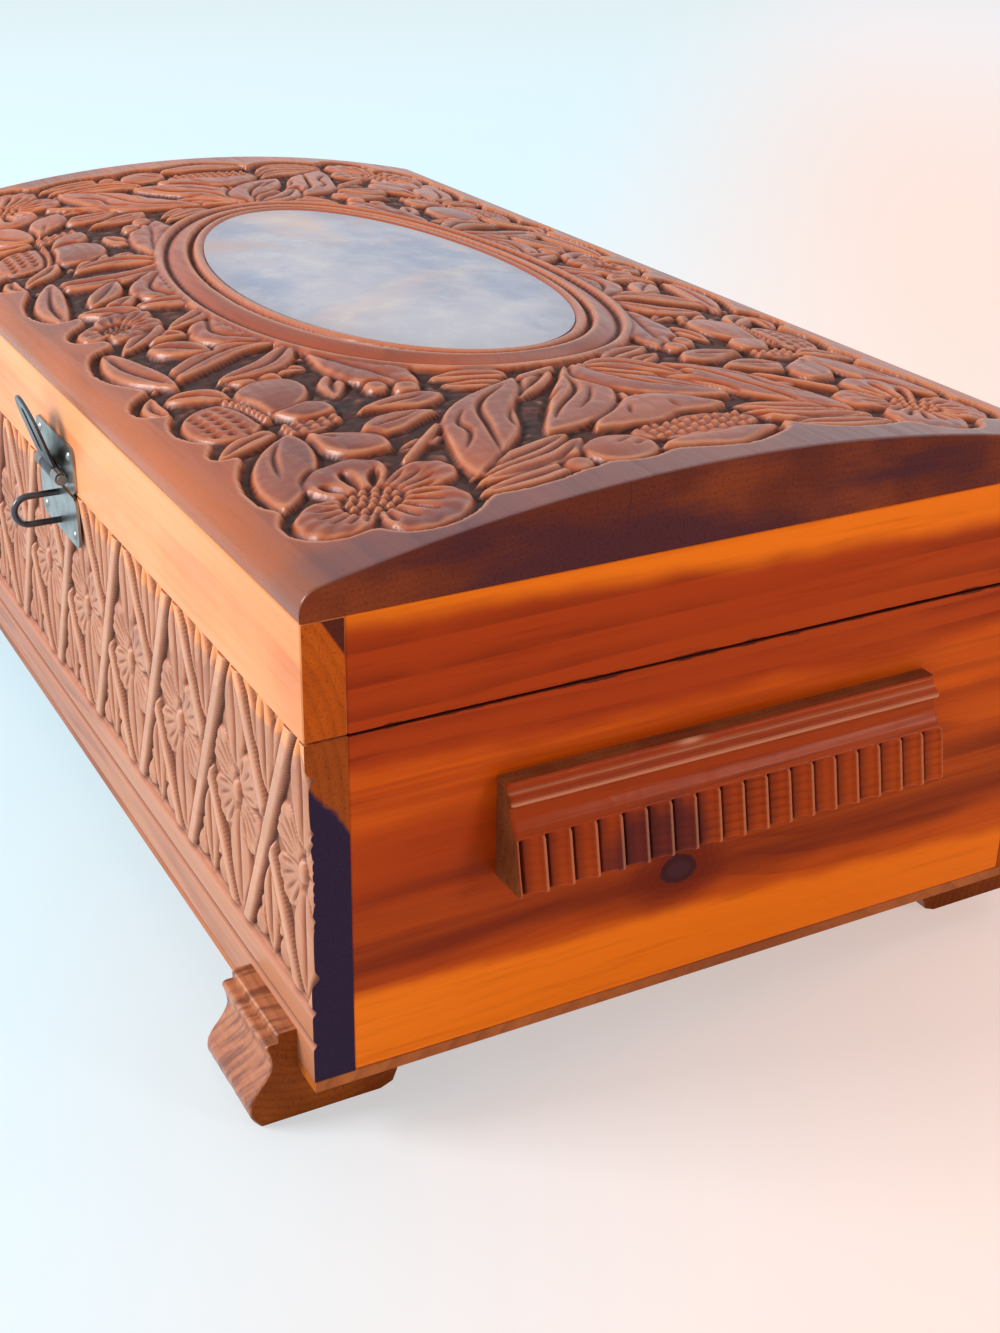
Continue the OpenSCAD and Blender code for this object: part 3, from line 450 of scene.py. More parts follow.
def end_middle(c):
    """The trumpet flower and its leaves at the middle of the right end."""
    leaf(c, [-60, 108, -50, 104, -41, 106], 7, top=-1.0)
    leaf(c, [-58, 92, -48, 93, -41, 90], 7, top=-1.1)
    leaf(c, [-17, 122, -14.5, 106, -16, 90], 9, top=-0.1, wide=0.5, vein=0, waves=2)
    bud(c, -26, 106, 7, 17, top=-1.3, dome=0.3)
    spots = [(-29.5 + 3.1 * (k % 3) + 0.9 * (k // 3 % 2), 119 - 2.7 * (k // 3)) for k in range(30)]
    dots(c, spots, 1.25, -0.8, 0.7)
    leaf(c, [-35, 120.5, -39.5, 104, -32, 84], 15, top=-0.1, vein=0, wide=0.5, tilt=-0.4, waves=1.5)
    cut(c, [-41, 98, -35, 95], 1.4, 1.0)
    cut(c, [-40, 108, -35.5, 108], 1.2, 0.8)
    bud(c, -20, 83, 8, 8.5, -30, top=-0.15, dome=1.0)
    cut(c, [-24, 88, -20.5, 82], 1.1, 0.9)
    cut(c, [-21, 90, -18, 85], 1.1, 0.9)
    bud(c, -17, 71, 3.8, 3.6, top=-0.4)
    leaf(c, [-75.5, 101, -62, 98, -46, 88, -36, 74], 16, top=-0.25, wide=0.52, tilt=0.4, vein=0)
    cut(c, [-70, 98, -58, 94, -48, 84, -41, 79], 1.9, 1.6)
    cut(c, [-60, 91, -54, 84, -46, 78], 1.6, 1.3)
    cut(c, [-58, 98, -50, 93, -44, 87], 1.4, 1.1)
    leaf(c, [-76, 103, -62, 105, -41, 126], 14, wide=0.55, vein=0)
    cut(c, [-70, 104.5, -59, 109, -48, 118], 1.8, 1.5)
    cut(c, [-57, 113, -51, 118, -46, 123], 1.3, 1.0)
    leaf(c, [-76, 106, -72, 116, -58, 126], 9, top=-0.6)


def mirrored(c, paint):
    """Paints the far side of the field: the same motifs with v counted from the back edge."""
    flip = Carving(c.u0, c.u0 + c.nu * c.du, c.v0, c.v0 + c.nv * c.dv, c.dv)
    flip.h[:] = c.h[::-1]
    flip.shape[:] = c.shape[::-1]
    paint(flip)
    c.h[:] = flip.h[::-1]
    c.shape[:] = flip.shape[::-1]


GROUND, DEEPEST, GROOVE = -2.3, -3.3, -2.2
BORDER_END, BORDER_LONG = 19, 17
# Edges of the rings round the print, out from its edge: bead, groove, sloping band, groove, bead
BEAD_IN, BAND_IN, BAND_OUT, BEAD_OUT, RING_OUT = 3.2, 4.4, 10.4, 11.6, 14.6


def oval_distance(u, v):
    """Distance outside the print's oval, roughly."""
    x, y = u + LENGTH / 2, v - DEPTH / 2
    f = np.hypot(x / PRINT_A, y / PRINT_B)
    g = np.hypot(x / PRINT_A**2, y / PRINT_B**2) / np.maximum(f, 1e-6)
    return (f - 1) / np.maximum(g, 1e-6)


def carve_top(step=0.5):
    """Heights over the top's right half, then mirrored: x from 0 at the right end, y from the front edge."""
    c = Carving(-LENGTH / 2, 0, 4.5, DEPTH - 4.5, step)
    c.h[:] = GROUND
    mirrored(c, front_corner)
    front_corner(c)
    end_middle(c)
    c.h = np.maximum(c.h, DEEPEST)
    c.h += np.where(c.shape, 0.03, 0.13) * smooth_noise(c.h.shape, 0.8, step)
    c.h = np.minimum(c.h, -0.02)
    e = oval_distance(c.u, c.v)
    rings = (
        (0, BEAD_IN, -0.1 - 0.9 * ((e - 1.6) / 1.6) ** 2),
        (BEAD_IN, BAND_IN, GROOVE),
        (BAND_IN, BAND_OUT, -0.03 - 0.5 * np.clip(5.4 - e, 0, 1) ** 2 - 1.7 * ((e - 5.6) / 4.8).clip(0, 1) ** 1.6),
        (BAND_OUT, BEAD_OUT, GROOVE),
        (BEAD_OUT, RING_OUT, -0.4 - 0.9 * ((e - 13.1) / 1.5) ** 2),
    )
    ring = np.select([(e > lo) & (e < hi) for lo, hi, _ in rings], [z for _, _, z in rings], -1.2)
    c.h = np.where(e < RING_OUT, ring, c.h)
    field = blur(c.shape.astype(float), 2.4 / step) > 0.16
    field |= (-c.u > BORDER_END) & (c.v > BORDER_LONG) & (c.v < DEPTH - BORDER_LONG)
    c.h = np.where(~field & (e > RING_OUT), 0.0, c.h)
    carved = np.minimum(blur(c.h, 0.32 / step), 0)
    marks = carving_marks(carved, step, 1.75, 1.3, 0.08, 0.6)
    whole = lambda half: np.hstack([half[:, ::-1], half[:, 1:]])
    return c, whole(carved), {key: whole(value) for key, value in marks.items()}


def make_top():
    """The arched top: the carving laid over its arch, with a round-over along both long edges."""
    c, h, marks = carve_top()
    nu = h.shape[1]
    half = DEPTH / 2
    x = np.linspace(-END_X, END_X, nu)
    y = c.v[:, 0] - half
    arch = ARCH_Z + np.sqrt(ARCH_R**2 - y**2)
    rows = [np.stack([x, np.full(nu, yy + MID_Y), zz + hh], -1) for yy, zz, hh in zip(y, arch, h)]
    turn_y = half - ROUND
    turn_z = ARCH_Z + sqrt((ARCH_R - ROUND) ** 2 - turn_y**2)
    tilt = atan2(turn_y, turn_z - ARCH_Z)
    z0 = TOP_LO[2]
    edge = [(half - 0.4, z0), (half, z0 + 0.5)]
    edge += [(turn_y + ROUND * cos(a), turn_z + ROUND * sin(a)) for a in np.linspace(0, pi / 2 - tilt, 14)]
    turned = lambda side, path: [np.stack([x, np.full(nu, MID_Y + side * yy), np.full(nu, zz)], -1) for yy, zz in path]
    pts = np.array(turned(-1, edge) + rows + turned(1, edge[::-1]))
    pad = np.zeros((len(edge), nu))
    marks = {key: np.vstack([pad, value, pad]) for key, value in marks.items()}
    # A small arris along both ends
    for col, inner in ((0, 1), (-1, -2)):
        pts[:, inner, 0] = pts[:, col, 0] + (0.35 if col == 0 else -0.35)
        pts[:, col, 2] -= 0.3
    y0, y1 = MID_Y - half + 0.4, MID_Y + half - 0.4
    corners = [(-END_X, y0, z0), (END_X, y0, z0), (END_X, y1, z0), (-END_X, y1, z0)]
    pts[[0, -1], :, 2] = z0 + 0.02
    return relief("carved_top", pts, corners, marks)


# ---- Carved front ----

BAND, BEAD_TOP = 9.6, 18.0
FIELD_H = CASE_TOP - CASE_Z
PITCH, START, COUNT = 37.5, 23.8, 11
LATTICE_MID = (BEAD_TOP + FIELD_H) / 2
RIB_SLOPE = 30.0 / (FIELD_H - BEAD_TOP)
FRONT_GROUND = -1.7


def carve_front(step=0.45):
    """Heights over x (0 at the right end, going left is negative) and z above the walls' foot."""
    c = Carving(-LENGTH, 0, 0, FIELD_H, step, floor=-2.3, fine=0.55)
    field = c.v > BEAD_TOP + 0.6
    c.h = np.where(field, FRONT_GROUND + 0.06 * smooth_noise(c.h.shape, 0.8, step), 0.0)
    mid_z, low, high = LATTICE_MID, BEAD_TOP, FIELD_H
    creased = {"top": -0.6, "crown": 0.5, "vein": 0.8, "blunt": 0.6}
    beside = {"top": -0.65, "crown": 0.5, "vein": 0.5}
    upright = {"top": -0.5, "crown": 0.5, "vein": 0.8}
    fan = {"top": -0.55, "dish": 0.8, "blunt": 0.22, "reach": 0.86, "roll": 0.4}
    crosses = [-START - i * PITCH for i in range(-2, COUNT + 1)]
    for cross in crosses[1:-1]:
        mid = cross - PITCH / 2
        leaf(c, [(mid, mid_z + 5), (mid + 0.6, mid_z + 17), (mid, high + 2)], 11.5, wide=0.5, **creased)
        leaf(c, [(mid, mid_z - 5), (mid, mid_z - 17), (mid, low - 1)], 12.5, **creased)
        for angle in (37, 143, 217, -37):
            petal(c, mid, mid_z, angle, 16, 36, 4, 1.0, 0.9, **fan)
        bud(c, mid, mid_z, 2.0, 3.2, top=-0.3, dome=0.6)
        for sx in (-1, 1):
            rising = [(2, high - 20), (7, high - 12), (11, high + 3)]
            falling = [(10, low), (8, low + 7), (4, low + 13)]
            for path, width in ((rising, 8.5), (falling, 7)):
                leaf(c, [(cross + sx * x, z) for x, z in path], width, **beside)
            bud(c, cross + sx * 7.2, low + 4.6, 3.4, 3.6, top=-0.5, dome=0.6)
        leaf(c, [(cross, high - 25), (cross, high - 12), (cross, high + 3)], 10, wide=0.6, **upright)
        leaf(c, [(cross, mid_z - 7), (cross, low + 13), (cross, low)], 9, **upright)
    ribs = np.zeros(c.h.shape)
    for side, width, top in ((-1, 3.6, -0.08), (1, 4.0, 0.0)):
        for cross in crosses:
            d = (c.u - cross - side * RIB_SLOPE * (c.v - mid_z)) * cos(atan2(RIB_SLOPE, 1))
            inside = width / 2 - abs(d)
            gap = ease(1 - abs(inside + 0.5) / 0.8)
            over = ease((inside + 0.35) / 0.7)
            z = top - 0.25 * np.clip(abs(d) / (width / 2), 0, 1) ** 6
            rib = c.h + (np.minimum(c.h, FRONT_GROUND - 0.3) - c.h) * gap
            rib = rib + (np.maximum(z, c.h) - rib) * over
            c.h = np.where(field, rib, c.h)
            ribs = np.maximum(ribs, over * field)
    c.h = np.where(field, c.h, 0.0)
    for z in (BAND, BEAD_TOP):
        c.h -= np.clip(1.1 - abs(c.v - z), 0, 1.1)
    carved = np.minimum(blur(c.h, 0.24 / step), 0)
    marks = carving_marks(carved, step, 1.5, 1.2, 0.06, 0.5)
    # Painted highlight along the raised ribs
    marks["crest"] = np.maximum(marks["crest"], 0.75 * blur(ribs, 0.3 / step))
    return c, carved, marks


def make_front():
    c, h, marks = carve_front()
    pts = np.stack([c.u + END_X, FRONT_Y - h, c.v + CASE_Z], -1)
    y1 = FRONT_HI[1]
    corners = [(-END_X, y1, CASE_Z), (END_X, y1, CASE_Z), (END_X, y1, CASE_TOP), (-END_X, y1, CASE_TOP)]
    return relief("carved_front", pts, corners, marks)


# ---- Handles and feet ----


def spread(size, near, first, last, count, far):
    """Grid lines over a size: near the start, evenly between, and near the end."""
    return np.concatenate([near, np.linspace(first, size - last, count), size - np.array(far)])


HANDLE_PROFILE = (
    (0, 11.4), (0.9, 11.9), (12.4, 9.6), (12.8, 9.0), (14.5, 7.6), (16.5, 6.6), (18.5, 6.1), (19.5, 5.9),
    (19.7, 6.8), (20.4, 7.0), (21.2, 6.7), (21.5, 5.6), (22.3, 5.5), (22.6, 4.8),
)
FLUTE = [0, 0.05, 0.1, 0.17, 0.24, 0.5, 0.8, 0.93, 1], [0, 0, 0.95, 1, 0.5, 0.42, 0.28, 0.05, 0]
TOP_T, FLUTE_TOP, FLUTE_PITCH = 4.6, 12.9, 6.3
# Heights of the painted highlight lines on the bead and the top arris, and of the painted shade line under the bead
BEAD_Z, ARRIS_Z, UNDERCUT_Z = 20.3, 22.3, 19.5


def peak(x, middle, width):
    return np.exp(-(((x - middle) / width) ** 2))


def make_handle(name, node, side):
    """A fluted strip on an end: its thickness over a grid of length and height."""
    lo, hi = box_mm(node)
    length, height = hi[1] - lo[1], hi[2] - lo[2]
    near = [0, 0.2, 0.5, 0.9]
    s = spread(length, near, 1.1, 1.1, 620, near[::-1])
    t = spread(height, near, 1.2, 0.9, 84, [0.5, 0.2, 0])
    u, v = np.meshgrid(s, t)
    thick = np.interp(v, *zip(*HANDLE_PROFILE, (height, TOP_T)))
    count = int(length / FLUTE_PITCH)
    start = length / 2 - count / 2 * FLUTE_PITCH
    phase = ((u - start) / FLUTE_PITCH) % 1
    in_row = (u > start) & (u < start + count * FLUTE_PITCH)
    scoop = 2.3 * np.interp(phase, *FLUTE)
    thick = thick - np.where(in_row, scoop * np.clip((FLUTE_TOP - v) / 0.4, 0, 1), 0)
    thick -= 0.03 * np.abs(smooth_noise(thick.shape, 9.0))
    row = in_row & (v < FLUTE_TOP)
    # Painted highlight: thin light lines on the flute arrises, the bead and the top arris, plus one light chip in the
    # top edge
    crest = np.where(row, np.clip(1 - np.minimum(abs(phase - 0.03), abs(phase - 0.99)) / 0.06, 0, 1), 0)
    crest = np.maximum(crest, 1.6 * peak(v, BEAD_Z, 0.45) + peak(v, ARRIS_Z, 0.2))
    crest = np.maximum(crest, 1.8 * peak(u, length * 0.4, 3.0) * peak(v, height - 0.5, 0.7))
    # Painted shade: dark in each flute after its ridge, and a dark line under the bead
    hollow = np.where(row, np.interp(phase, [0, 0.06, 0.1, 0.2, 0.34, 0.6], [0, 0, 1, 0.85, 0.3, 0]), 0)
    hollow = np.maximum(hollow, peak(v, UNDERCUT_Z, 0.25) * 0.7)
    for edge in (u, length - u, v, height - v):
        thick -= 0.5 * np.clip(1 - edge / 0.6, 0, 1) ** 2
    x = side * (END_X + np.clip(thick, 1, 11.9))
    pts = np.stack([x, lo[1] + u, lo[2] + v], -1)
    marks = {"hollow": hollow, "crest": crest, "steep": np.zeros(u.shape)}
    y0, y1 = lo[1], hi[1]
    if side < 0:
        pts = pts[:, ::-1]
        marks = {key: value[:, ::-1] for key, value in marks.items()}
        y0, y1 = y1, y0
    corners = [(side * END_X, y, z) for y, z in ((y0, lo[2]), (y1, lo[2]), (y1, hi[2]), (y0, hi[2]))]
    return relief(name, pts, corners, marks)


FOOT_H, BELLY, WAIST = 23.3, 11.8, 6.4
BELLY_Z, WAIST_Z, BEAD_BASE = 5.0, FOOT_H - 7.8, FOOT_H - 4


def ogee(v):
    """A foot's reach out from the wall at a height."""
    if v < BELLY_Z:
        return BELLY - 2.4 * (1 - v / BELLY_Z) ** 2
    if v < WAIST_Z:
        return (BELLY + WAIST) / 2 + (BELLY - WAIST) / 2 * cos(pi * (v - BELLY_Z) / (WAIST_Z - BELLY_Z))
    return WAIST + 0.7 * ((v - WAIST_Z) / (BEAD_BASE - WAIST_Z)) ** 2


def make_foot(name, node, face):
    """An ogee foot swept along its length, its ends eased."""
    lo, hi = box_mm(node)
    out = [(-24, 12.5), (-24, 4.2), (-22.8, 1.2), (-19.8, 0)]
    out += [(ogee(BEAD_BASE * i / 40), BEAD_BASE * i / 40) for i in range(41)]
    out += [(6.6 + 0.8 * sin(a), FOOT_H - 3.2 - 0.8 * cos(a)) for a in np.linspace(0, pi, 7)]
    out += [(4.8, FOOT_H - 2.4), (4.8, FOOT_H - 0.4), (4.4, FOOT_H), (0, FOOT_H), (0, 12.5)]
    out = np.array(out)
    near = [0, 0.15, 0.5]
    xs = spread(hi[0] - lo[0], near, 1, 1, 40, near[::-1])
    wall = FRONT_Y if face < 0 else BACK_Y
    rings = []
    tooling = abs(smooth_noise((len(xs), len(out)), 1.2) * 0.05)
    for x, marks in zip(xs, tooling):
        shrink = 0.45 * max(0, 1 - min(x, xs[-1] - x) / 0.5) ** 2
        reach = out[:, 0] - (out[:, 0] > 0.5) * (shrink + marks)
        rings.append(np.stack([np.full(len(out), lo[0] + x), wall + face * reach, out[:, 1]], -1))
    return sweep(name, np.array(rings))


# ---- Materials ----


def rgb(code):
    """A linear colour from its code."""
    c = [int(code[i : i + 2], 16) / 255 for i in (1, 3, 5)]
    return tuple(x / 12.92 if x <= 0.04045 else ((x + 0.055) / 1.055) ** 2.4 for x in c) + (1,)


class Value:
    """A socket that is reckoned with like a number; each step adds a maths node."""

    def __init__(self, graph, socket):
        self.graph, self.socket = graph, socket

    def __abs__(self):
        return self.graph.math("ABSOLUTE", self)


for word, op in (("add", "ADD"), ("sub", "SUBTRACT"), ("mul", "MULTIPLY"), ("truediv", "DIVIDE"), ("pow", "POWER")):
    setattr(Value, f"__{word}__", lambda a, b, op=op: a.graph.math(op, a, b))
    setattr(Value, f"__r{word}__", lambda b, a, op=op: b.graph.math(op, a, b))


class Graph:
    """A node tree of a material, or of the world, written as nested calls."""

    def __init__(self, name, world=False):
        self.owner = (bpy.data.worlds if world else bpy.data.materials).new(name)
        self.owner.use_nodes = True
        self.tree = self.owner.node_tree
        self.tree.nodes.clear()
        self.out = self.add("OutputWorld" if world else "OutputMaterial").inputs[0]

    @cached_property
    def place(self):
        return self.add("TexCoord").outputs["Object"]

    def put(self, socket, value):
        if isinstance(value, Value):
            value = value.socket
        if isinstance(value, bpy.types.NodeSocket):
            self.tree.links.new(value, socket)
        elif isinstance(value, str):
            socket.default_value = rgb(value)
        elif value is not None:
            socket.default_value = value

    def add(self, kind, props=None, **inputs):
        node = self.tree.nodes.new("ShaderNode" + kind)
        for key, value in (props or {}).items():
            setattr(node, key, value)
        for key, value in inputs.items():
            self.put(node.inputs[key.replace("_", " ")], value)
        return node

    def value(self, kind, props, output, values):
        """The output of a node whose inputs are filled in order."""
        node = self.add(kind, props)
        for socket, value in zip(node.inputs, values):
            self.put(socket, value)
        return Value(self, node.outputs[output])

    def math(self, op, a, b=None, clamp=False):
        return self.value("Math", {"operation": op, "use_clamp": clamp}, 0, (a, b))

    def vec(self, op, a, b=None):
        return self.value("VectorMath", {"operation": op}, "Value" if op == "LENGTH" else "Vector", (a, b))

    def radius(self, a, b):
        return self.math("SQRT", a * a + b * b)

    def mix(self, fac, a, b, blend="MIX"):
        node = self.add("Mix", {"data_type": "RGBA", "blend_type": blend})
        self.put(node.inputs[0], fac)
        self.put(node.inputs[6], a)
        self.put(node.inputs[7], b)
        return node.outputs[2]

    def between(self, value, lo, hi, high=1.0, low=0.0):
        """A soft step from low to high as the value goes from lo to hi."""
        return self.value("MapRange", {"interpolation_type": "SMOOTHSTEP"}, 0, (value, lo, hi, low, high))

    def noise(self, scale, where=None, detail=3.0, rough=0.55, warp=0.0, stretch=None):
        where = where or self.place
        if stretch:
            where = self.vec("MULTIPLY", where, stretch)
        node = self.add("TexNoise", Vector=where, Scale=scale, Detail=detail, Roughness=rough, Distortion=warp)
        return Value(self, node.outputs["Fac"])

    def sway(self, amount, scale, **more):
        """Noise round 0 instead of round a half."""
        return (self.noise(scale, **more) - 0.5) * amount

    def split(self):
        return [Value(self, out) for out in self.add("SeparateXYZ", Vector=self.place).outputs]

    def ring_line(self, phase, start, full, end):
        """A ring's late wood, darker towards its outer edge."""
        saw = self.math("FRACT", phase)
        return self.between(saw, start, full) * self.between(saw, 1.0, end)

    def darker(self, fac, col, by, depth=1.0):
        return self.mix(fac, col, self.mix(depth, col, by, "MULTIPLY"))

    def surface(self, col, rough, height, strength, distance, **more):
        """A shader with a fine bump, linked to the output."""
        bump = self.add("Bump", Height=height, Strength=strength, Distance=distance).outputs[0]
        shader = self.add("BsdfPrincipled", Base_Color=col, Roughness=rough, Normal=bump, **more)
        self.put(self.out, shader.outputs[0])
        return self.owner

    def by_ray(self, light, seen):
        """One shader for the light a thing gives, another for how cameras, mirrors and glass see it."""
        path = self.add("LightPath").outputs
        fac = path["Is Camera Ray"]
        for other in ("Is Glossy Ray", "Is Transmission Ray"):
            fac = self.math("MAXIMUM", fac, path[other])
        both = self.value("MixShader", None, 0, (fac, light.outputs[0], seen.outputs[0]))
        self.put(self.out, both)
        return self.owner


KNOT, KNOT_RING, KNOT_MIDDLE = "#40181a", "#38100a", "#54303a"


def cedar(name, tones, grain, pith, ring=0.0028, sap=None, knots=(), stain=None, rough=0.38, coat=0.06, drift=0.5,
          groove=None, painted_lit_flank="#b8500f", crest_highlight_and_wear=None, ior=1.3, tint=None, fibre=0.35, slant=0.0):
    """Lacquered red cedar: rings round a pith line, streaks along the grain, sapwood and knots.

    tones are the wood, its late rings and its light streaks. Stain and painted shade darken a carving's hollows
    to the groove colour; its steep flanks take a painted lit colour and its crests a painted highlight with wear.
    """
    wood, late, light = tones.split()
    g = Graph(name)
    lengthwise = "xyz".index(grain)
    drawn = lambda k: tuple(k if i == lengthwise else 1.0 for i in range(3))
    xyz = g.split()
    a, b = (xyz[i] - p for i, p in zip([i for i in range(3) if i != lengthwise], pith))
    if slant:
        a = a + xyz[lengthwise] * slant
    r = g.radius(a, b) + g.sway(0.022, 9.0, stretch=drawn(0.35), detail=2.0)
    for centre, size in knots:
        off = g.vec("MULTIPLY", g.vec("SUBTRACT", g.place, centre), drawn(0.45))
        near = g.vec("LENGTH", off) / (size * 1.3)
        r = r + 2.718 ** (near * near * -1.0) * (size * 0.9)
    width = g.noise(26.0, where=g.add("CombineXYZ", X=r, Y=0.3, Z=0.7).outputs[0], detail=1.0)
    line = g.ring_line(r / ring + width * 3.0, 0.35, 0.93, 0.95)
    fine = g.noise(520.0, stretch=drawn(0.055), detail=4.0, rough=0.62)
    streak = g.noise(95.0, stretch=drawn(0.04), detail=3.0, rough=0.6)
    broad = g.noise(14.0, stretch=drawn(0.22), detail=2.0)
    col = g.mix(g.between(broad, 0.34, 0.66), wood, light)
    col = g.mix(g.between(streak, 0.4, 0.7) * drift, col, wood)
    lines = line * g.between(g.noise(30.0, detail=2.0), 0.3, 0.75, 0.5, low=0.05)
    if sap:
        share = sap(g)
        col = g.mix(share, col, SAPWOOD)
        lines = lines * (1.0 - share * 0.75)
    col = g.darker(lines, col, late, 0.75)
    col = g.darker(g.between(fine, 0.5, 0.78) * fibre, col, "#b89a90")
    if tint:
        col = tint(g, col)
    for centre, size in knots:
        off = g.vec("MULTIPLY", g.vec("SUBTRACT", g.place, centre), drawn(0.8))
        d = g.vec("LENGTH", off) + g.sway(size * 0.5, 160.0)
        halo = g.between(d, size * 1.5, size * 0.5, 0.75)
        rings = g.math("SINE", d * (6.28 / (size * 0.16)))
        col = g.mix(halo, col, late)
        col = g.mix(halo * g.between(rings, 0.0, 1.0, 0.22), col, KNOT_RING)
        col = g.mix(g.between(d, size * 0.46, size * 0.38), col, KNOT)
        col = g.mix(g.between(d, size * 0.3, size * 0.16, 0.35), col, KNOT_MIDDLE)
    rough = g.between(fine, 0.3, 0.8, rough + 0.12, low=rough - 0.05)
    if stain:
        hollow, crest, steep = (
            g.value("Attribute", {"attribute_name": key}, "Fac", ()) for key in ("hollow", "crest", "steep")
        )
        # Painted light: steep flanks tinted as lit sides, crests lightened as highlights with wear, hollows darkened
        # by stain and painted shade
        col = g.mix(steep * 0.7, col, painted_lit_flank)
        col = g.mix(crest * 0.4, col, crest_highlight_and_wear)
        deep = hollow ** 0.7 * g.between(g.noise(240.0), 0.2, 0.8, stain, low=stain * 0.8)
        col = g.mix(deep, col, groove)
        rough = rough + hollow * 0.4
        coat = (1.0 - hollow) * coat
    height = fine * 0.6 - line * 0.5
    return g.surface(col, rough, height, 0.22, 0.0004, Coat_Weight=coat, Coat_Roughness=0.22, IOR=ior)


def end_grain(name, tones, pith, axes=(1, 2), dark=None, dark_mask=None, ring=0.0026, ring_depth=0.2):
    """Sawn end grain: arcs of the rings, pores and saw scratches, with less gloss."""
    wood, late, light = tones.split()
    g = Graph(name)
    xyz = g.split()
    a, b = (xyz[i] - p for i, p in zip(axes, pith))
    r = g.radius(a, b) + g.sway(0.008, 22.0, detail=2.0)
    line = g.ring_line(r / ring, 0.3, 0.9, 0.94)
    pores = g.noise(1500.0, detail=2.0, rough=0.7)
    col = g.mix(g.between(g.noise(40.0), 0.35, 0.68), wood, light)
    col = g.darker(line * ring_depth, col, late, 0.8)
    if dark_mask:
        col = g.mix(dark_mask(g), col, dark)
    col = g.darker(g.between(pores, 0.52, 0.72, 0.5), col, "#7a6a66")
    scratch = g.noise(600.0, stretch=(1.0, 0.06, 1.0), detail=2.0)
    return g.surface(col, 0.6, pores + scratch * 0.5, 0.35, 0.0003, IOR=1.18)


def metal(name, tone, dull, rough):
    """Plated steel gone a little dull, with fine scuffs and specks."""
    g = Graph(name)
    wear = g.noise(60.0, detail=4.0)
    specks = g.noise(420.0, rough=0.7)
    col = g.mix(g.between(wear, 0.4, 0.75), tone, dull)
    col = g.mix(g.between(specks, 0.62, 0.8, 0.7), col, "#4a3c30")
    r = g.between(wear, 0.3, 0.8, rough + 0.22, low=rough) + g.between(specks, 0.6, 0.8, 0.2)
    return g.surface(col, r, specks, 0.12, 0.0002, Metallic=1.0)


def picture():
    """An old print of clouds over a pale sky, soft greys and creams under thin varnish."""
    g = Graph("print_clouds")
    fine = g.noise(95.0, detail=5.0, rough=0.68)
    from_middle = g.vec("SUBTRACT", g.place, (0, MID_Y * MM, 0))
    oval = g.vec("LENGTH", g.vec("MULTIPLY", from_middle, (1 / MM / PRINT_A, 1 / MM / PRINT_B, 0)))
    big = g.noise(17.0, stretch=(0.7, 1.25, 1.0), detail=6.0, rough=0.58, warp=0.35)
    col = g.mix(g.between(big, 0.36, 0.6), "#74829a", "#b3aeb0")
    for fac, lo, hi, most, over in (
        (g.noise(9.0, warp=0.8), 0.5, 0.68, 0.85, "#d9b394"),
        (g.noise(23.0, detail=4.0, warp=0.5), 0.57, 0.7, 0.7, "#6d7d98"),
        (fine, 0.42, 0.75, 0.35, "#e6dccb"),
        (oval, 0.8, 1.0, 0.45, "#9a8f86"),
        (g.noise(14.0, detail=5.0, warp=0.6), 0.56, 0.68, 0.7, "#c08a58"),
    ):
        col = g.mix(g.between(fac, lo, hi, most), col, over)
    col = g.mix(0.35, col, "#76809c")
    return g.surface(col, 0.42, fine, 0.1, 0.0003, Coat_Weight=0.12, Coat_Roughness=0.3)


# ---- Figures of the wood: masks and tints, placed by rows in millimetres from the front and the walls' foot ----


def y_row(v):
    return (v + FRONT_Y) * MM


def z_row(v):
    return (v + CASE_Z) * MM


def under(rows, soft):
    """A mask that is 1 under a wavy line through rows of y and z on an end."""
    points = [(y_row(y), z_row(z)) for y, z in rows]

    def mask(g):
        xyz = g.split()
        node = g.add("FloatCurve")
        node.inputs[0].default_value = 1.0
        lo, hi = points[0][0], points[-1][0]
        z0 = min(z for _, z in points) - 0.001
        z1 = max(z for _, z in points) + 0.001
        share = [((y - lo) / (hi - lo), (z - z0) / (z1 - z0)) for y, z in points]
        line = node.mapping.curves[0].points
        line[0].location, line[1].location = share[0], share[-1]
        for at in share[1:-1]:
            line.new(*at)
        node.mapping.update()
        g.put(node.inputs[1], g.math("DIVIDE", xyz[1] - lo, hi - lo, clamp=True))
        level = Value(g, node.outputs[0]) * (z1 - z0) + z0
        gap = level + g.sway(0.003, 55.0, detail=2.0) - xyz[2]
        return g.between(gap, -soft, soft)

    return mask


end_sap = under(((0, 20), (45, 17.5), (98, 16.6), (142, 14.5), (200, 11.5)), 0.0022)
rail_heart = under(((0, 106), (43, 104.6), (91, 102), (131, 100.4), (200, 98)), 0.003)


def rail_sap(g):
    return 1.0 - rail_heart(g)


def seam_line(g, col):
    """The worn, chipped edges where the lid meets the walls."""
    off = abs(g.split()[2] - (CASE_TOP + 0.2) * MM)
    width = g.between(g.noise(330.0, stretch=(1, 0.35, 1)), 0.45, 0.75, 0.0009, low=0.0004)
    return g.mix(g.between(off - width, 0.0001, -0.0001, 0.85), col, "#3c140a")


def end_tone(g, col):
    """A bright stripe over the handle and a darker heart below it."""
    col = seam_line(g, col)
    z = g.split()[2] + g.sway(0.02, 26.0, stretch=(1, 0.35, 1), detail=4.0)
    streak = g.noise(110.0, stretch=(1, 0.03, 1), detail=4.0, rough=0.65)
    heart = g.between(z, z_row(52), z_row(40)) * g.between(z, z_row(18), z_row(26))
    col = g.mix(heart * g.between(streak, 0.3, 0.66, 0.75, low=0.15), col, "#641a0a")
    glow = g.between(z, z_row(75), z_row(70)) * g.between(z, z_row(56), z_row(64))
    return g.mix(glow * g.between(streak, 0.66, 0.36, 0.8, low=0.1), col, "#e86408")


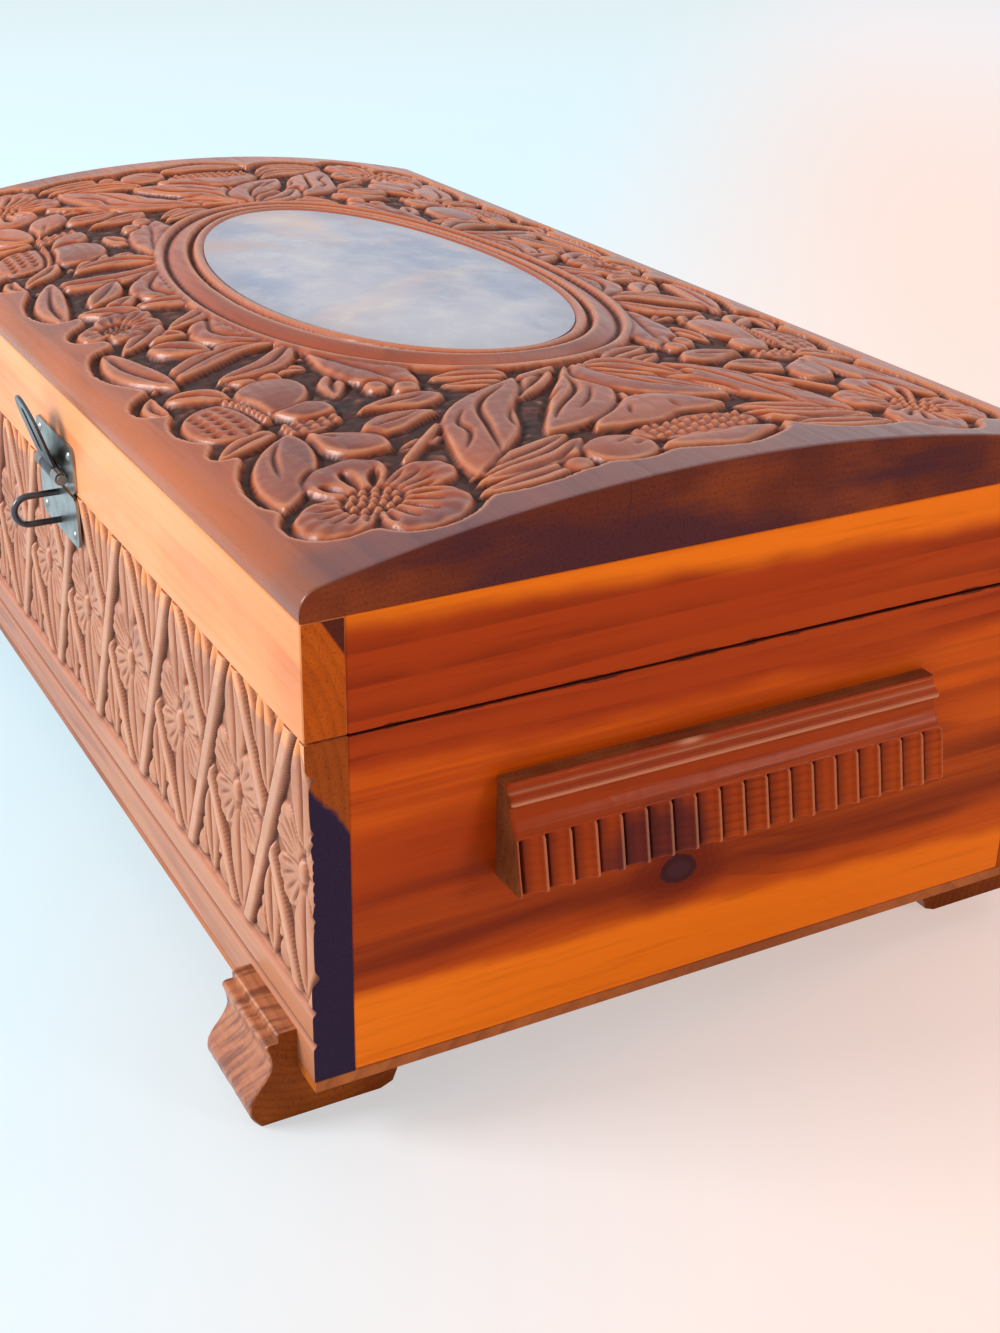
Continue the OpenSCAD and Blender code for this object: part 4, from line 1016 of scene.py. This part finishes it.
def top_tone(g, col):
    """Mauve-brown clouds in the top's stain, a painted mauve reflection along the right border, and a painted
    highlight along its front edge.
    """
    border = g.split()[0] + g.sway(0.008, 24.0)
    # Painted reflection: a mauve sheen along the right border
    col = g.mix(g.between(border, 0.160, 0.172, 0.62), col, "#46303a")
    col = g.mix(g.between(g.noise(16.0, stretch=(0.5, 1, 1)), 0.42, 0.66, 0.55), col, "#58302c")
    # Painted highlight: a lighter orange along the front edge's round-over
    return g.mix(g.between(g.split()[1], y_row(9), y_row(2), 0.35), col, "#b0602e")


def bare_edge(g, col):
    """The stain stops short of the front board's upper edge, which is left orange."""
    height = g.split()[2] + g.sway(0.006, 150.0, stretch=(1, 1, 0.4))
    return g.mix(g.between(height, z_row(76.6), z_row(78.0), 0.95), col, "#e8883a")


def handle_tone(g, col):
    """A dark heart patch over some of the flutes."""
    off = g.vec("MULTIPLY", g.vec("SUBTRACT", g.place, (END_X * MM, y_row(79), z_row(43))), (0.0, 1.0, 1.4))
    d = g.vec("LENGTH", off) + g.sway(0.02, 60.0)
    return g.mix(g.between(d, 0.019, 0.009, 0.7), col, "#361020")


def foot_tone(g, col):
    """Slanting figure and tool marks on the feet."""
    xyz = g.split()
    slant = xyz[0] * 0.55 + xyz[2] * 0.83
    run = xyz[0] * 0.83 - xyz[2] * 0.55
    where = g.add("CombineXYZ", X=run, Y=xyz[1] * 0.12, Z=slant * 0.1).outputs[0]
    return g.mix(g.between(g.noise(560.0, where=where, rough=0.6), 0.42, 0.66, 0.85), col, "#6a3016")


def front_end_dark(g):
    """Dark heart below a line that falls across the front board's end."""
    xyz = g.split()
    high, low = 73.6, 59.7
    level = z_row(high) - (xyz[1] - y_row(0)) * ((high - low) / BOARD)
    return g.between(level + g.sway(0.006, 120.0) - xyz[2], -0.0012, 0.0012)


def top_end_dark(g):
    """Dark heart over most of the top board's end, with redder patches, and one crack."""
    y = abs(g.split()[1] - (MID_Y * MM + 0.004))
    ragged = g.sway(0.1, 30.0, stretch=(1, 0.4, 1.6), detail=5.0)
    patch = g.between(g.noise(48.0, stretch=(1, 0.3, 1.5), detail=4.0), 0.4, 0.6, 0.92, low=0.15)
    dark = g.between(y + ragged, 0.085, 0.055) * patch
    crack = abs(g.split()[1] + g.sway(0.0016, 260.0) - y_row(73))
    return g.math("MAXIMUM", dark, g.between(crack, 0.0002, 0.0001))


def rail_end_dark(g):
    """The dark wedge of heartwood at the front rail's upper inner corner."""
    xyz = g.split()
    inner = xyz[1] + (xyz[2] - z_row(99)) * 0.61
    front_only = g.between(xyz[1], y_row(30), y_row(15))
    return g.between(inner, y_row(9.3), y_row(10.1)) * front_only


# ---- The materials; a pith is given in metres over the two axes across the grain ----

RIGHT, FRONT, BACK = END_X * MM, FRONT_Y * MM, BACK_Y * MM
knot = (RIGHT, y_row(90.7), z_row(28.3))
SAPWOOD = "#fa7c0e"
end_tones = {"tones": "#b03c08 #6e1c08 #d25a0c", "grain": "y", "ior": 1.16, "coat": 0.04}
end_wood = cedar("cedar_end", pith=(RIGHT + 0.01, z_row(46)), ring=0.0042, sap=end_sap,
                 knots=[(knot, 0.0095)], tint=end_tone, **end_tones)
end_wood_left = cedar("cedar_end_left", pith=(-RIGHT - 0.012, z_row(30)), ring=0.0045, **end_tones)
rail_wood = cedar("cedar_rail_end", pith=(RIGHT - 0.06, z_row(150)), ring=0.005, sap=rail_sap,
                  tint=seam_line, **end_tones)
front_rail_wood = cedar("cedar_rail_front", "#de8448 #c87040 #eb9a60", "x", (FRONT - 0.03, z_row(80)),
                        ring=0.0095, drift=0.2, fibre=0.1)
back_wood = cedar("cedar_back", "#a8401a #7c2410 #cc6426", "x", (BACK + 0.02, z_row(40)), ring=0.005)
base_wood = cedar("cedar_base", "#9a4c1c #6e2c12 #bc6626", "x", (0.02, -0.04), ring=0.006)
inside_wood = cedar("cedar_inside", "#b05a30 #7c2410 #cc7c48", "x", (0.0, 0.2), coat=0.0, rough=0.6)
# On the carved top and front, the groove colour is stain and painted shade in hollows, the flank colour a painted lit
# side, and the crest colour a painted highlight with wear
top_wood = cedar("cedar_top", "#803214 #5c2210 #a65022", "x", (MID_Y * MM + 0.015, 0.05), ring=0.006,
                 stain=0.98, groove="#120a0c", painted_lit_flank="#a8440e", crest_highlight_and_wear="#dc9a70",
                 rough=0.3, coat=0.08, drift=0.4, ior=1.34, tint=top_tone)
front_wood = cedar("cedar_front", "#a8623e #94583a #bb7a56", "x", (FRONT + 0.1, z_row(50)), ring=0.005,
                   stain=0.95, groove="#451d12", painted_lit_flank="#b8643e", crest_highlight_and_wear="#e2ac8a",
                   rough=0.42, coat=0.15, drift=0.2, fibre=0.12, ior=1.42, tint=bare_edge)
# On the handle the groove colour is painted shade in the flutes and under the bead, and the crest colour is painted
# highlight, with one light chip
handle_wood = cedar("cedar_handle", "#a63a06 #521a08 #c4520e", "y", (RIGHT + 0.009, z_row(60)), ring=0.0021,
                    stain=0.9, groove="#240a10", crest_highlight_and_wear="#e0a078",
                    rough=0.3, coat=0.05, slant=0.07, ior=1.18, tint=handle_tone)
foot_wood = cedar("cedar_foot", "#a45a34 #6a3218 #c07a50", "x", (FRONT + 0.008, 0.012), ring=0.0014,
                  rough=0.33, coat=0.25, ior=1.45, tint=foot_tone)
top_end = end_grain("grain_top_end", "#70301c #3c1c1c #92421e", (0.02, -0.9), ring=0.0016, ring_depth=0.1,
                    dark="#4e262c", dark_mask=top_end_dark)
front_end = end_grain("grain_front_end", "#8e3a0c #5a2410 #a84e14", (-0.16, 0.08),
                      dark="#2e2038", dark_mask=front_end_dark)
rail_end = end_grain("grain_rail_end", "#b04608 #7a3410 #c85c10", (-0.14, 0.09),
                     dark="#5a2418", dark_mask=rail_end_dark)
foot_end = end_grain("grain_foot_end", "#843c10 #42200f #a2521a", (-0.09, 0.05), ring=0.0022)
handle_end = end_grain("grain_handle_end", "#7a3c20 #43200f #96552c", (0.15, 0.07), axes=(0, 2), ring_depth=0.15)
plated = metal("plated_steel_dull", "#a8a6a2", "#5c5852", 0.24)
wire = metal("steel_wire_dark", "#56565a", "#2a2a2e", 0.26)
iron = metal("plain_steel", "#9a9792", "#6a6660", 0.34)


# ---- Pieces ----


def stand_in(obj, node, body, slot, *mats):
    """Puts a dressed piece in its node's place."""
    for mat in mats:
        obj.data.materials.append(mat)
    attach(obj, body)
    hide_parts(node)
    return obj


stand_in(make_top(), "lid_top_board", "lid", "carved_cedar", top_wood, inside_wood, top_end)
stand_in(make_front(), "front_panel", "case", "carved_cedar", front_wood, inside_wood, front_end)

for name, node, body, slot, mat, inner in (
    ("back_board", "back_panel", "case", "red_cedar", back_wood, (0, -1, 0)),
    ("right_end_board", "right_end_panel", "case", "red_cedar", end_wood, (-1, 0, 0)),
    ("left_end_board", "left_end_panel", "case", "red_cedar", end_wood_left, (1, 0, 0)),
    ("bottom_board", "base_board", "case", "pale_cedar", base_wood, (0, 0, 1)),
    ("front_rail", "lid_front_rail", "lid", "pale_cedar", front_rail_wood, (0, 1, 0)),
    ("back_rail", "lid_back_rail", "lid", "red_cedar", back_wood, (0, -1, 0)),
    ("right_rail", "lid_right_rail", "lid", "red_cedar", rail_wood, (-1, 0, 0)),
    ("left_rail", "lid_left_rail", "lid", "red_cedar", end_wood_left, (1, 0, 0)),
):
    board = stand_in(plank(name, node), node, body, slot, mat, inside_wood, rail_end)
    side_slot(board, inner, 1)
    if name in ("back_board", "front_rail", "back_rail"):
        side_slot(board, (1, 0, 0), 2)
        side_slot(board, (-1, 0, 0), 2)

for node, side in (("right_handle", 1), ("left_handle", -1)):
    strip = make_handle(node + "_strip", node, side)
    stand_in(strip, node, "case", "dark_cedar", handle_wood, handle_end, handle_end)

for node, face in (("front_left_foot", -1), ("front_right_foot", -1), ("back_left_foot", 1), ("back_right_foot", 1)):
    foot = make_foot(node + "_ogee", node, face)
    stand_in(foot, node, "case", "dark_cedar", foot_wood, foot_end)
    for cap in list(foot.data.polygons)[-2:]:
        cap.material_index = 1

# The hardware and the print are the nodes themselves with new materials
finishes = {node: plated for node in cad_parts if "hinge" in node or "hasp" in node or "plate" in node}
finishes.update(dict.fromkeys(("wire_staple", "hasp_strap"), wire))
screws = ("handle_screws", "foot_screws", "base_nails", "left_hinge_pin", "right_hinge_pin", "hasp_pin")
finishes.update(dict.fromkeys(screws, iron))
finishes["oval_print"] = picture()
for node, mat in finishes.items():
    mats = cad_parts[node].data.materials
    mats.clear()
    mats.append(mat)


# ---- Studio and camera ----


def floor():
    """Pale paper, cool on the box's front side and paler far off, with a warm tint towards the box's right end that is
    painted bounce light and fades far off.
    """
    bm = bmesh.new()
    bmesh.ops.create_grid(bm, x_segments=8, y_segments=8, size=9.0)
    mesh = bpy.data.meshes.new("floor")
    bm.to_mesh(mesh)
    bm.free()
    g = Graph("floor_paper")
    xyz = g.split()
    across = xyz[0] * 0.62 + xyz[1] * 0.79
    far = g.between(g.vec("LENGTH", g.place), 0.6, 2.2)
    # Painted bounce light: warm near the box's right end, paler far off
    warm = g.mix(far, "#fce3d8", "#fffbfd")
    cool = g.mix(far, "#dcf5ff", "#ecfcff")
    tint = g.mix(g.between(across, -0.12, 0.22), cool, warm)
    tint = g.mix(g.noise(900.0) * 0.02, tint, "#d8d4d0")
    lit, glow = 0.42, 0.6
    pale = g.add("AddShader")
    g.put(pale.inputs[0], g.add("BsdfDiffuse", Color=g.vec("MULTIPLY", tint, (lit, lit, lit))).outputs[0])
    g.put(pale.inputs[1], g.add("Emission", Color=tint, Strength=glow).outputs[0])
    mesh.materials.append(g.by_ray(g.add("BsdfDiffuse", Color=tint), pale))
    linked("floor", mesh)


def lamp(name, where, target, size, energy, color):
    data = bpy.data.lights.new(name, "AREA")
    data.shape = "RECTANGLE"
    data.size, data.size_y = size
    data.energy = energy
    data.color = color
    obj = linked(name, data)
    obj.location = where
    obj.rotation_euler = (Vector(target) - Vector(where)).to_track_quat("-Z", "Y").to_euler()


def studio():
    """Floor, three area lamps, and a pale sky that is shown brighter than it lights."""
    floor()
    lamp("key", (-0.7, -1.9, 1.2), (0, 0, 0.06), (1.0, 0.9), 62, (0.96, 0.98, 1.0))
    lamp("overhead", (-0.3, 0.9, 2.3), (0, 0, 0.1), (2.2, 2.2), 24, (1.0, 0.98, 0.96))
    lamp("fill", (2.0, 1.4, 0.9), (0.1, 0, 0.08), (0.6, 0.6), 13, (1.0, 0.93, 0.87))
    g = Graph("studio", world=True)
    light = g.add("Background", Color=(0.93, 0.95, 1.0, 1), Strength=0.38)
    shown = g.add("Background", Color=(0.93, 0.96, 1.0, 1), Strength=1.0)
    bpy.context.scene.world = g.by_ray(light, shown)


def camera():
    """The photo's camera, as solved on the box's square edges."""
    az, el, roll = 1.09157258, 0.439287113, 0.00683070
    forward = Vector((-sin(az) * cos(el), cos(az) * cos(el), -sin(el)))
    right = forward.cross(Vector((0, 0, 1))).normalized()
    up = right.cross(forward)
    across = cos(roll) * right + sin(roll) * up
    upward = -sin(roll) * right + cos(roll) * up
    cam = bpy.data.cameras.new("camera")
    cam.lens = 49.31
    cam.sensor_width = 36
    cam.shift_x, cam.shift_y = 0.030, -0.0225
    cam.clip_start, cam.clip_end = 0.02, 60
    matrix = Matrix((across, upward, -forward)).transposed().to_4x4()
    matrix.translation = Vector((0.47193, -0.21631, 0.26855))
    obj = bpy.context.scene.camera = linked("camera", cam)
    obj.matrix_world = matrix


studio()
camera()
bpy.context.scene.view_settings.view_transform = "Standard"
